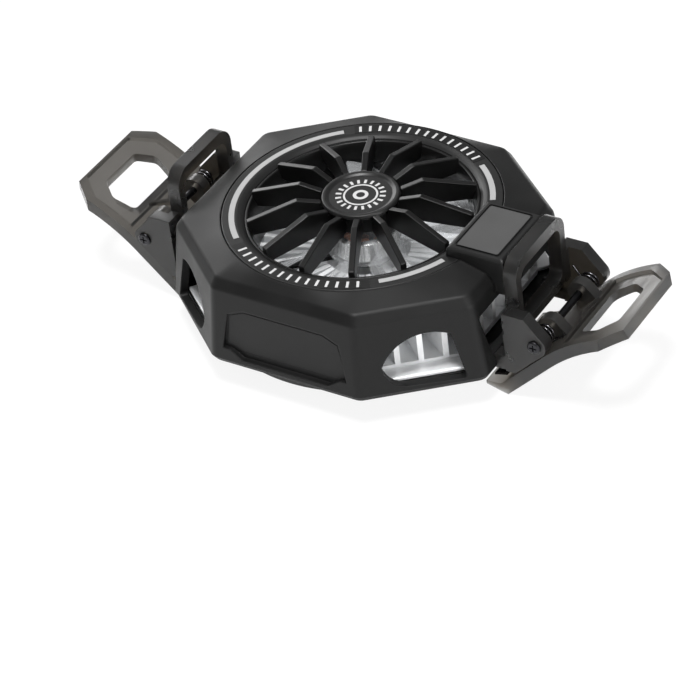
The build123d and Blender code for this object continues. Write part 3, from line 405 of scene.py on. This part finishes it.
solder_mask = moulded("solder_mask", dark=0.012, light=0.018, gloss=(0.25, 0.35))
bright_steel = metal(
    "bright_steel", colour=(0.74, 0.74, 0.73), gloss=(0.12, 0.25), streak=0.0003, streak_depth=0.000002)
sintered_bronze = metal(
    "sintered_bronze", colour=(0.62, 0.42, 0.2), gloss=(0.4, 0.5), streak=0.0003, streak_depth=0.000004)
copper_wire = metal(
    "copper_wire", colour=(0.95, 0.40, 0.22), gloss=(0.3, 0.42), streak=0.0002, streak_depth=0.000002,
    metallic=0.2)
dress(solder_mask, "fan_board", "led_board", "control_board", "display_board")
dress(bright_steel, "motor_stator", "fan_shaft")
dress(sintered_bronze, "shaft_bearing")

coil_low, coil_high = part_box("motor_coils")
tooth_count = 6
tooth_half_width = 0.00095
coil_wire = 0.00034
coil_turns = 4
coil_turn_steps = 20
coil_spacing_share = 1.05
coil_corner_power = 0.45
coil_half_width = tooth_half_width - coil_wire / 2
coil_half_height = (coil_high.z - coil_low.z - coil_wire) / 2
coil_middle = (coil_high.z + coil_low.z) / 2
coil_last = coil_high.x - coil_wire


def squared(value):
    """A cosine or sine drawn out towards a square with round corners."""
    return (1 if value > 0 else -1) * abs(value) ** coil_corner_power


tooth_line = []
for step in range(coil_turns * coil_turn_steps + 1):
    turn = step / coil_turn_steps
    tooth_line.append((
        coil_last - (coil_turns - turn) * coil_wire * coil_spacing_share,
        coil_half_width * squared(cos(2 * pi * turn)),
        coil_middle + coil_half_height * squared(sin(2 * pi * turn)),
    ))
tooth_coil = wear(wire_run("tooth_coil", tooth_line, coil_wire, roundness=2), copper_wire)
motor_windings = ring_of(tooth_coil, tooth_count, start=0, name="motor_windings")
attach(motor_windings, "cooler")
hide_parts("motor_coils")

yoke_low, yoke_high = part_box("rotor_yoke")
yoke_wall = 0.00045
yoke_lip = 0.0014
yoke_edge = 0.00012
yoke_ring = turned("yoke_ring", [
    (yoke_high.x - yoke_wall, yoke_low.z),
    (yoke_high.x, yoke_low.z),
    (yoke_high.x, yoke_high.z),
    (yoke_high.x - yoke_lip, yoke_high.z),
    (yoke_high.x - yoke_lip, yoke_high.z - yoke_wall),
    (yoke_high.x - yoke_wall, yoke_high.z - yoke_wall),
], steps=96)
wear(yoke_ring, bright_steel)
round_edges(yoke_ring, yoke_edge)
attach(yoke_ring, "fan")
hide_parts("rotor_yoke")

# Fan frame
# A moulded black ring in the step of the fins, with four arms that carry the motor. It is of
# the same plastic as the grille.

grille_plastic = moulded("grille_plastic", dark=0.003, light=0.004, gloss=(0.3, 0.38), shine=0.25)
dress(grille_plastic, "fan_frame")

# Impeller
# Clear polycarbonate, one moulding: a capped hub with nine bowed and twisted blades, pressed
# on the steel yoke.


def clear_finish(name, tint, gloss, index, clearness):
    """Clear plastic, with faint waves in its gloss. Clearness is the share of the light that
    goes straight through."""
    finish, tree, shader, place = finish_base(name)
    clouds = grain(tree, place, size=0.006, detail=2.0)
    shade_between(tree, clouds, dimmed(tint, 0.94), tint, shader.inputs["Base Color"])
    spread(tree, clouds, *gloss, shader.inputs["Roughness"])
    shader.inputs["Transmission Weight"].default_value = 0.5
    shader.inputs["IOR"].default_value = index
    shader.inputs["Alpha"].default_value = 1 - clearness
    return finish


clear_polycarbonate = clear_finish(
    "clear_polycarbonate", tint=(0.90, 0.92, 0.94), gloss=(0.06, 0.12), index=1.45, clearness=0.7)
dress(clear_polycarbonate, "fan_impeller")

# Housing
# One moulding in fine-grained black plastic: eight leaning sides under a sloped crown, with
# vent windows at the corners and behind the clamps. The sunk field of the front panel is
# polished a little, so it is a thin plate of its own here.

dress(housing_plastic, "housing")


def slab(name, outline, offset):
    """A flat slab: a closed row of points, drawn out by an offset."""
    bpy.ops.object.select_all(action="DESELECT")
    bpy.ops.mesh.primitive_circle_add(vertices=len(outline), fill_type="NGON")
    piece = bpy.context.object
    piece.name = name
    for vertex, point in zip(piece.data.vertices, outline):
        vertex.co = point
    bpy.ops.object.mode_set(mode="EDIT")
    bpy.ops.mesh.select_all(action="SELECT")
    bpy.ops.mesh.extrude_region_move(TRANSFORM_OT_translate={"value": offset})
    bpy.ops.mesh.select_all(action="SELECT")
    bpy.ops.mesh.normals_make_consistent(inside=False)
    bpy.ops.object.mode_set(mode="OBJECT")
    return piece


# Half width, height and depth of each corner of the panel
panel_top = (0.0096, 0.0154, 0.032515)
panel_shoulder = (0.0130, 0.0139, 0.032577)
panel_low = (0.0145, 0.0058, 0.032910)
panel_gap = 0.00035
panel_thick = 0.00012
panel_corners = []
for half_width, height, depth in (panel_top, panel_shoulder, panel_low):
    panel_corners.append((half_width - panel_gap, -depth, height - panel_gap))
panel_corners += [(-x, y, z) for x, y, z in reversed(panel_corners)]

panel_plastic = moulded("panel_plastic", dark=0.0045, light=0.006, gloss=(0.42, 0.50), shine=0.2)
panel = wear(slab("front_panel", panel_corners, (0, -panel_thick, 0)), panel_plastic)
round_edges(panel, panel_thick / 2)
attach(panel, "cooler")

# Grille
# A black moulding: the duct ring with its flange, fourteen tall bent spokes and the hub. It is
# screwed to the housing by its flange.


def plate(name, outline, thick):
    """A flat plate on edge over the X axis from its outline, a closed row of (x, z)."""
    return slab(name, [(x, -thick / 2, z) for x, z in outline], (0, thick, 0))


spoke_count = 14
spoke_thick = 0.0013
spoke_edge = 0.00022
spoke_outer = 0.0237
spoke_low = 0.0197
spoke_end_top = 0.0232
spoke_in_hub = 0.0006
knee_radius = 0.0130
knee_top = 0.0264
hub_radius = 0.0076
hub_low = 0.0207
hub_top = 0.0242
hub_edge = 0.0003
medallion_radius = 0.0082
medallion_top = 0.0254
medallion_step = 0.0003

spoke = plate("spoke", [
    (spoke_outer, spoke_low),
    (spoke_outer, spoke_end_top),
    (knee_radius, knee_top),
    (medallion_radius, medallion_top - medallion_step),
    (medallion_radius, hub_top),
    (hub_radius - spoke_in_hub, hub_top),
    (hub_radius - spoke_in_hub, hub_low),
], spoke_thick)
wear(spoke, grille_plastic)
round_edges(spoke, spoke_edge)
spokes = ring_of(spoke, spoke_count, start=pi / spoke_count, name="grille_spokes")

duct_inner = 0.0227
duct_mouth = 0.0235
duct_outer = 0.0243
duct_low = 0.0170
duct_slope_low = 0.0203
duct_top = 0.0219
duct_edge = 0.0002
flange_radius = 0.0286
flange_low = 0.0194
flange_top = 0.0205
bezel_inner = 0.0241

duct = turned("grille_duct", [
    (duct_inner, duct_low),
    (duct_outer, duct_low),
    (duct_outer, flange_low),
    (flange_radius, flange_low),
    (flange_radius, flange_top),
    (bezel_inner, flange_top),
    (bezel_inner, duct_top),
    (duct_mouth, duct_top),
    (duct_inner, duct_slope_low),
], steps=128)
wear(duct, grille_plastic)
round_edges(duct, duct_edge)
hub = wear(flat_ring("grille_hub", 0, hub_radius, hub_low, hub_top, steps=96), grille_plastic)
round_edges(hub, hub_edge)
for piece in (spokes, duct, hub):
    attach(piece, "cooler")
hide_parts("fan_grille")

# Medallion
# A disc with a raised rim, pressed on the hub over the ends of the spokes, with a plain ring
# of printed ticks on its face.

medallion_sunk = 0.0004
medallion_face = medallion_top - medallion_sunk
medallion_foot = 0.0006
medallion_flare = 0.0005
medallion_slope = 0.0003
medallion_rim = 0.0010
medallion_bowl = 0.0016
medallion_edge = 0.0002
medallion_plastic = moulded(
    "medallion_plastic", dark=0.006, light=0.008, gloss=(0.34, 0.42), shine=0.3)

medallion = turned("medallion", [
    (0, hub_top),
    (medallion_radius - medallion_foot, hub_top),
    (medallion_radius, hub_top + medallion_flare),
    (medallion_radius - medallion_slope, medallion_top),
    (medallion_radius - medallion_rim, medallion_top),
    (medallion_radius - medallion_bowl, medallion_face),
    (0, medallion_face),
], steps=96)
wear(medallion, medallion_plastic)
round_edges(medallion, medallion_edge)
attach(medallion, "cooler")
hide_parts("grille_medallion")

print_thick = 0.00004
print_white = moulded("print_white", dark=0.40, light=0.45, gloss=(0.45, 0.6), shine=0.3)


def printed_tick(name, inner, outer, width, height):
    """A thin printed dash that points at the fan axis."""
    middle = ((inner + outer) / 2, 0, height + print_thick / 2)
    tick = block(name, middle, (outer - inner, width, print_thick))
    bpy.ops.object.mode_set(mode="EDIT")
    bpy.ops.mesh.select_all(action="SELECT")
    bpy.ops.mesh.bevel(offset=print_thick / 4, segments=1, affect="EDGES")
    bpy.ops.object.mode_set(mode="OBJECT")
    return wear(tick, print_white)


def printed_ring(name, inner, outer, height):
    """A thin printed ring about the fan axis."""
    return wear(flat_ring(name, inner, outer, height, height + print_thick, steps=96), print_white)


tick_count = 20
tick_inner = 0.0040
tick_outer = 0.0052
tick_width = 0.00055
circle_inner = 0.0032
circle_outer = 0.0036
dot_inner = 0.0009
dot_outer = 0.0016
tick = printed_tick("tick", tick_inner, tick_outer, tick_width, medallion_face)
medallion_ticks = ring_of(tick, tick_count, start=0, name="medallion_ticks")
medallion_circle = printed_ring("medallion_circle", circle_inner, circle_outer, medallion_face)
medallion_dot = printed_ring("medallion_dot", dot_inner, dot_outer, medallion_face)
for piece in (medallion_ticks, medallion_circle, medallion_dot):
    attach(piece, "cooler")

# Bezel
# A satin ring over the grille's flange with three milky light strips. Two darker inlays
# between the strips carry plain printed ticks.


def flat_arc(name, inner, outer, start, end, low, thick):
    """Part of a flat ring between two angles in degrees."""
    bpy.ops.object.select_all(action="DESELECT")
    bpy.ops.mesh.primitive_circle_add(vertices=4)
    piece = bpy.context.object
    piece.name = name
    section = [(inner, low), (outer, low), (outer, low + thick), (inner, low + thick)]
    first = radians(start)
    for vertex, (radius, height) in zip(piece.data.vertices, section):
        vertex.co = (radius * cos(first), radius * sin(first), height)
    bpy.ops.object.mode_set(mode="EDIT")
    bpy.ops.mesh.select_all(action="SELECT")
    bpy.ops.mesh.edge_face_add()
    bpy.ops.mesh.spin(steps=48, angle=radians(start - end), center=(0, 0, 0), axis=(0, 0, 1))
    close_up(merge_gap=1e-7)
    return piece


rim_height = 0.0226
bezel_outer = 0.02885
bezel_land = 0.0256
bezel_crest_drop = 0.0002
bezel_slope_foot = 0.0219
bezel_edge = 0.00025
bezel_plastic = moulded("bezel_plastic", dark=0.006, light=0.008, gloss=(0.40, 0.48), shine=0.25)

bezel = turned("bezel", [
    (bezel_inner, flange_top),
    (bezel_outer, flange_top),
    (bezel_outer, rim_height),
    (bezel_land, rim_height),
    ((bezel_land + bezel_inner) / 2, rim_height - bezel_crest_drop),
    (bezel_inner, bezel_slope_foot),
], steps=160)
wear(bezel, bezel_plastic)
round_edges(bezel, bezel_edge, segments=3, sharpness=12)
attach(bezel, "cooler")
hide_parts("bezel_ring")

strip_inner = 0.0261
strip_outer = 0.0273
strip_sunk = 0.00005
strip_proud = 0.00012
strip_edge = 0.00006
strip_arcs = [(128.8, 228.5), (25.7, 53.1), (-52.1, -21.9)]  # degrees
strip_low = rim_height - strip_sunk
strip_thick = strip_sunk + strip_proud
light_diffuser = moulded("light_diffuser", dark=0.27, light=0.31, gloss=(0.45, 0.55), shine=0.25)
light_arcs = []
for start, end in strip_arcs:
    arc = flat_arc("light_arc", strip_inner, strip_outer, start, end, strip_low, strip_thick)
    wear(arc, light_diffuser)
    light_arcs.append(round_edges(arc, strip_edge))
lights = joined(light_arcs, "light_arcs")
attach(lights, "cooler")
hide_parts("light_strips")

inlay_inner = 0.0257
inlay_outer = 0.0284
inlay_thick = 0.00004
inlay_zones = [(57.0, 124.0), (-127.5, -56.0)]  # degrees
dash_inner = 0.0260
dash_length = 0.0019
dash_width = 0.00055
dash_pitch = 4.4  # degrees
dash_count = 15
dash_low = rim_height + inlay_thick
inlay_black = moulded("inlay_black", dark=0.003, light=0.004, gloss=(0.34, 0.42), shine=0.22)
for zone, (start, end) in enumerate(inlay_zones, 1):
    inlay = flat_arc(f"inlay_{zone}", inlay_inner, inlay_outer, start, end, rim_height, inlay_thick)
    wear(inlay, inlay_black)
    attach(inlay, "cooler")
    dashes = []
    for number in range(dash_count):
        turn = radians((start + end) / 2 + (number - (dash_count - 1) / 2) * dash_pitch)
        dash = printed_tick("dash", dash_inner, dash_inner + dash_length, dash_width, dash_low)
        dash.data.transform(Matrix.Rotation(turn, 4, "Z"))
        dashes.append(dash)
    zone_dashes = joined(dashes, f"inlay_dashes_{zone}")
    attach(zone_dashes, "cooler")

# Display pod
# A black box on the crown beside the bracket, with broken edges. A smoked window lies on a
# thin gasket over its display.

pod_plastic = moulded(
    "pod_plastic", dark=0.006, light=0.008, gloss=(0.34, 0.42), shine=0.3, soft_edge=0.0006)
smoked_glass = moulded(
    "smoked_glass", dark=0.05, light=0.056, gloss=(0.3, 0.36), shine=0.3,
    grain_size=0.0004, grain_depth=0.000001)
dress(pod_plastic, "display_pod")

pod_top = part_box("display_pod")[1].z
window_start = 0.0264
window_end = 0.0356
window_half = 0.0070
window_corner = 0.0005
gasket_margin = 0.0003
gasket_thick = 0.00005
glass_sunk = 0.0003
glass_edge = 0.00004


def window_plate(name, margin, proud):
    """A plate with round corners, sunk in the pod, a margin larger than the window."""
    start = window_start - margin
    end = window_end + margin
    thick = glass_sunk + proud
    middle = ((start + end) / 2, 0, pod_top - glass_sunk + thick / 2)
    piece = block(name, middle, (end - start, 2 * (window_half + margin), thick))
    for edge in piece.data.edges:
        ends = [piece.data.vertices[index].co for index in edge.vertices]
        edge.select = abs(ends[0].z - ends[1].z) > thick / 2
    for polygon in piece.data.polygons:
        polygon.select = False
    bpy.ops.object.mode_set(mode="EDIT")
    bpy.ops.mesh.select_mode(type="EDGE")
    bpy.ops.mesh.bevel(offset=window_corner, segments=4, affect="EDGES")
    bpy.ops.object.mode_set(mode="OBJECT")
    return piece


gasket = wear(window_plate("display_gasket", margin=gasket_margin, proud=gasket_thick), inlay_black)
glass = wear(window_plate("display_glass", margin=0, proud=2 * gasket_thick), smoked_glass)
round_edges(glass, glass_edge)
for piece in (gasket, glass):
    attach(piece, "cooler")
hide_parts("display_window")

# Brackets
# Smoky black polycarbonate: each has a window frame, two cheeks for the hinge pin and two
# feet that are screwed under the housing.


def merged_copy(name, node_name):
    """A copy of a modelled node with its triangles merged into whole faces."""
    piece = bpy.data.objects.new(name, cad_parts[node_name].data.copy())
    bpy.context.collection.objects.link(piece)
    pick(piece)
    bpy.ops.object.mode_set(mode="EDIT")
    bpy.ops.mesh.select_all(action="SELECT")
    bpy.ops.mesh.remove_doubles(threshold=1e-6)
    bpy.ops.mesh.dissolve_limited(angle_limit=radians(0.5))
    bpy.ops.object.mode_set(mode="OBJECT")
    return piece


def smoky_finish(name, tint, glow, density, gloss):
    """Smoky clear plastic: the light that it lets through dies away with its thickness."""
    finish, tree, shader, place = finish_base(name)
    clouds = grain(tree, place, size=0.007, detail=2.0)
    spread(tree, clouds, *gloss, shader.inputs["Roughness"])
    shade_between(tree, clouds, dimmed([tint] * 3, 0.9), [tint] * 3, shader.inputs["Base Color"])
    shader.inputs["Transmission Weight"].default_value = 0.95
    shader.inputs["IOR"].default_value = 1.4
    shader.inputs["Specular IOR Level"].default_value = 0.25
    smoke = tree.nodes.new("ShaderNodeVolumeAbsorption")
    smoke.inputs["Color"].default_value = (*glow, 1)
    smoke.inputs["Density"].default_value = density
    tree.links.new(smoke.outputs["Volume"], tree.nodes["Material Output"].inputs["Volume"])
    return finish


smoke_glow = (0.52, 0.48, 0.42)
moulding_sharpness = 35
bracket_edge = 0.0005
bracket_plastic = smoky_finish(
    "bracket_plastic", tint=0.20, glow=smoke_glow, density=1500, gloss=(0.26, 0.34))
for side in ("right", "left"):
    bracket = wear(merged_copy(f"{side}_mount", f"{side}_bracket"), bracket_plastic)
    round_edges(bracket, bracket_edge, segments=3, sharpness=moulding_sharpness)
    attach(bracket, "cooler")
    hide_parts(f"{side}_bracket")

# Hinge pins
# Blackened steel pins pushed through cheeks and barrels, with a low head that has a cross
# recess for assembly.


def cross_recess(piece, centre, reach, width, depth):
    """Cut a cross recess into the front end of a piece that lies along the Y axis."""
    for reach_x, reach_z in ((reach, width / 2), (width / 2, reach)):
        cutter = block("recess_cutter", centre, (2 * reach_x, 2 * depth, 2 * reach_z))
        pick(piece)
        cut = piece.modifiers.new("recess", "BOOLEAN")
        cut.operation = "DIFFERENCE"
        cut.object = cutter
        bpy.ops.object.modifier_apply(modifier=cut.name)
        bpy.data.objects.remove(cutter)


pin_low, pin_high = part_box("right_hinge_pin")
hinge_x = (pin_low.x + pin_high.x) / 2
hinge_z = (pin_low.z + pin_high.z) / 2
pin_head = (pin_high.z - pin_low.z) / 2
pin_head_thick = 0.0006
pin_head_slope = 0.0003
pin_head_rise = 0.0002
pin_shank = 0.0008
pin_edge = 0.0001
recess_reach = 0.0008
recess_width = 0.0003
recess_depth = 0.00035
for side, mirror_x in (("right", 1), ("left", -1)):
    pin = turned(f"{side}_pin", [
        (0, pin_low.y),
        (pin_head - pin_head_slope, pin_low.y),
        (pin_head, pin_low.y + pin_head_rise),
        (pin_head, pin_low.y + pin_head_thick),
        (pin_shank, pin_low.y + pin_head_thick),
        (pin_shank, pin_high.y),
        (0, pin_high.y),
    ], steps=48)
    lay_down = Matrix(((1, 0, 0, mirror_x * hinge_x), (0, 0, 1, 0), (0, -1, 0, hinge_z), (0, 0, 0, 1)))
    pin.data.transform(lay_down)
    round_edges(pin, pin_edge)
    head_middle = (mirror_x * hinge_x, pin_low.y, hinge_z)
    cross_recess(pin, head_middle, recess_reach, recess_width, recess_depth)
    wear(pin, blackened_steel)
    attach(pin, "cooler")
    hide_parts(f"{side}_hinge_pin")

# Claws
# The same smoky plastic: a lever with a jaw lip at its foot, two bored barrels for the pin and
# a finger loop with a sunk rim at its end.

claw_edge = 0.00035
claw_plastic = smoky_finish(
    "claw_plastic", tint=0.30, glow=smoke_glow, density=700, gloss=(0.28, 0.36))
for side in ("right", "left"):
    claw = wear(merged_copy(f"{side}_lever", f"{side}_claw"), claw_plastic)
    round_edges(claw, claw_edge, segments=3, sharpness=moulding_sharpness)
    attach(claw, f"{side}_claw_arm")
    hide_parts(f"{side}_claw")

# Jaw pads
# Strips of black rubber glued on the jaw lips, with ribs along the phone's edge.

pad_low, pad_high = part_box("right_jaw_pad")
pad_thick = 0.0007
pad_edge = 0.00006
pad_rise = (pad_high.z - pad_thick - pad_low.z) / (pad_high.x - pad_low.x)
rib_count = 4
rib_valley = pad_thick * 0.6
rib_shares = ((0.1, rib_valley), (0.3, pad_thick), (0.7, pad_thick), (0.9, rib_valley))
pad_outline = [(pad_low.x, pad_low.z)]
for rib in range(rib_count):
    for share, height in rib_shares:
        rib_x = pad_low.x + (pad_high.x - pad_low.x) * (rib + share) / rib_count
        pad_outline.append((rib_x, pad_low.z + (rib_x - pad_low.x) * pad_rise + height))
pad_outline.append((pad_high.x, pad_high.z - pad_thick))
pad_rubber = moulded("pad_rubber", dark=0.01, light=0.014, gloss=(0.6, 0.75), shine=0.3)
for side, mirror_x in (("right", 1), ("left", -1)):
    pad = plate(f"{side}_pad", [(mirror_x * x, z) for x, z in pad_outline], pad_high.y - pad_low.y)
    wear(pad, pad_rubber)
    round_edges(pad, pad_edge, segments=1)
    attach(pad, f"{side}_claw_arm")
    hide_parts(f"{side}_jaw_pad")

# Torsion springs
# Black spring wire wound round each hinge pin between a barrel and a cheek, two to a claw,
# with one leg on the claw and one towards the bracket.

spring_wire = 0.00045
spring_radius = 0.0019
spring_pitch = 0.0009
spring_turns = 2.25
spring_turn_steps = 24
claw_leg = 0.0026
bracket_leg = 0.0040
claw_rise = 44.2  # degrees
leg_tilt = 12.0  # degrees
barrel_end = 0.0075
cheek_face = 0.0110
spring_start = (barrel_end + cheek_face - spring_turns * spring_pitch) / 2
spring_steel = metal(
    "spring_steel", colour=(0.10, 0.10, 0.105), gloss=(0.2, 0.32), streak=0.0002,
    streak_depth=0.000001)


def spring_point(turn):
    """Point of the right front spring's coil after a number of turns."""
    angle = radians(claw_rise - leg_tilt - 90) - 2 * pi * turn
    return Vector((
        hinge_x + spring_radius * cos(angle),
        -spring_start - spring_pitch * turn,
        hinge_z + spring_radius * sin(angle),
    ))


spring_steps = range(round(spring_turns * spring_turn_steps) + 1)
spring_line = [spring_point(step / spring_turn_steps) for step in spring_steps]
first_leg = (spring_line[0] - spring_line[1]).normalized() * claw_leg
last_leg = (spring_line[-1] - spring_line[-2]).normalized() * bracket_leg
spring_line = [spring_line[0] + first_leg] + spring_line + [spring_line[-1] + last_leg]

for side, mirror_x in (("right", 1), ("left", -1)):
    for end, mirror_y in (("front", 1), ("rear", -1)):
        line = [(place.x * mirror_x, place.y * mirror_y, place.z) for place in spring_line]
        spring = wear(wire_run(f"{side}_{end}_coil", line, spring_wire, roundness=3), spring_steel)
        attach(spring, f"{side}_claw_arm")
        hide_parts(f"{side}_{end}_spring")

# Charging inlet
# The mouth that takes the plug: a drawn steel shell in the rear side of the housing, with a
# black moulded tongue in its middle.

inlet_steel = metal(
    "inlet_steel", colour=(0.6, 0.6, 0.6), gloss=(0.2, 0.3), streak=0.0003, streak_depth=0.000002,
    along="Y")
tongue_plastic = moulded("tongue_plastic", dark=0.01, light=0.014, gloss=(0.4, 0.5))
dress(inlet_steel, "inlet_shell")
dress(tongue_plastic, "inlet_tongue")

# Studio
# A plain white floor and surround, three soft lamps and the camera at the photograph's angle.
# The floor and the room look white to the camera, and light the object less than that.

floor_half = 3.0
floor_shade = 0.9
floor_seen = 0.88
bpy.ops.object.select_all(action="DESELECT")
bpy.ops.mesh.primitive_plane_add(size=2 * floor_half, location=(0, 0, cad_box[0].z))
floor = bpy.context.object
floor.name = "floor"
bpy.ops.object.transform_apply(location=True)

floor_paint = bpy.data.materials.new("floor_paint")
floor_paint.use_nodes = True
floor_tree = floor_paint.node_tree
floor_shader = floor_tree.nodes["Principled BSDF"]
floor_shader.inputs["Base Color"].default_value = (floor_shade, floor_shade, floor_shade, 1)
floor_shader.inputs["Roughness"].default_value = 0.9


def seen_share(tree, share):
    """A share for camera and see-through rays, and zero for the rest."""
    rays = tree.nodes.new("ShaderNodeLightPath")
    seen = tree.nodes.new("ShaderNodeMath")
    seen.operation = "MAXIMUM"
    tree.links.new(rays.outputs["Is Camera Ray"], seen.inputs[0])
    tree.links.new(rays.outputs["Is Transmission Ray"], seen.inputs[1])
    scale = tree.nodes.new("ShaderNodeMath")
    scale.operation = "MULTIPLY"
    scale.inputs[1].default_value = share
    tree.links.new(seen.outputs[0], scale.inputs[0])
    return scale.outputs[0]


white_glow = floor_tree.nodes.new("ShaderNodeEmission")
floor_mix = floor_tree.nodes.new("ShaderNodeMixShader")
floor_tree.links.new(seen_share(floor_tree, floor_seen), floor_mix.inputs[0])
floor_tree.links.new(floor_shader.outputs[0], floor_mix.inputs[1])
floor_tree.links.new(white_glow.outputs[0], floor_mix.inputs[2])
floor_tree.links.new(floor_mix.outputs[0], floor_tree.nodes["Material Output"].inputs["Surface"])
floor.data.materials.append(floor_paint)

room_light = 0.32
room = bpy.data.worlds.new("room")
room.use_nodes = True
bpy.context.scene.world = room
room_tree = room.node_tree
room_glow = room_tree.nodes["Background"]
room_glow.inputs["Color"].default_value = (1, 1, 1, 1)
room_level = room_tree.nodes.new("ShaderNodeMath")
room_level.operation = "ADD"
room_level.inputs[1].default_value = room_light
room_tree.links.new(seen_share(room_tree, 1 - room_light), room_level.inputs[0])
room_tree.links.new(room_level.outputs[0], room_glow.inputs["Strength"])


def softbox(name, place, size, power):
    """A square lamp that faces the object."""
    lamp_data = bpy.data.lights.new(name, "AREA")
    lamp_data.size = size
    lamp_data.energy = power
    lamp = bpy.data.objects.new(name, lamp_data)
    bpy.context.collection.objects.link(lamp)
    lamp.location = place
    lamp.rotation_euler = (-Vector(place)).to_track_quat("-Z", "Y").to_euler()


softbox("back_lamp", place=(-0.85, 0.45, 0.40), size=0.6, power=7.0)
softbox("side_lamp", place=(0.75, -0.30, 0.30), size=0.35, power=3.5)
softbox("top_lamp", place=(0.10, -0.20, 1.0), size=0.25, power=13.0)

camera_azimuth = radians(35.557)
camera_rise = radians(37.825)
camera_roll = radians(-7.598)
camera_place = Vector((0.3190, -0.4571, 0.4186))
camera_data = bpy.data.cameras.new("camera")
camera_data.sensor_width = 36.0
camera_data.lens = 172.945
camera_data.clip_start = 0.01
camera_data.clip_end = 20
camera = bpy.data.objects.new("camera", camera_data)
bpy.context.collection.objects.link(camera)
back = Vector((
    sin(camera_azimuth) * cos(camera_rise),
    -cos(camera_azimuth) * cos(camera_rise),
    sin(camera_rise),
))
level = Vector((cos(camera_azimuth), sin(camera_azimuth), 0))
above = back.cross(level)
right = level * cos(camera_roll) + above * sin(camera_roll)
up = above * cos(camera_roll) - level * sin(camera_roll)
camera.matrix_world = Matrix((
    (right.x, up.x, back.x, camera_place.x),
    (right.y, up.y, back.y, camera_place.y),
    (right.z, up.z, back.z, camera_place.z),
    (0, 0, 0, 1),
))
bpy.context.scene.camera = camera
bpy.context.scene.view_settings.view_transform = "Standard"
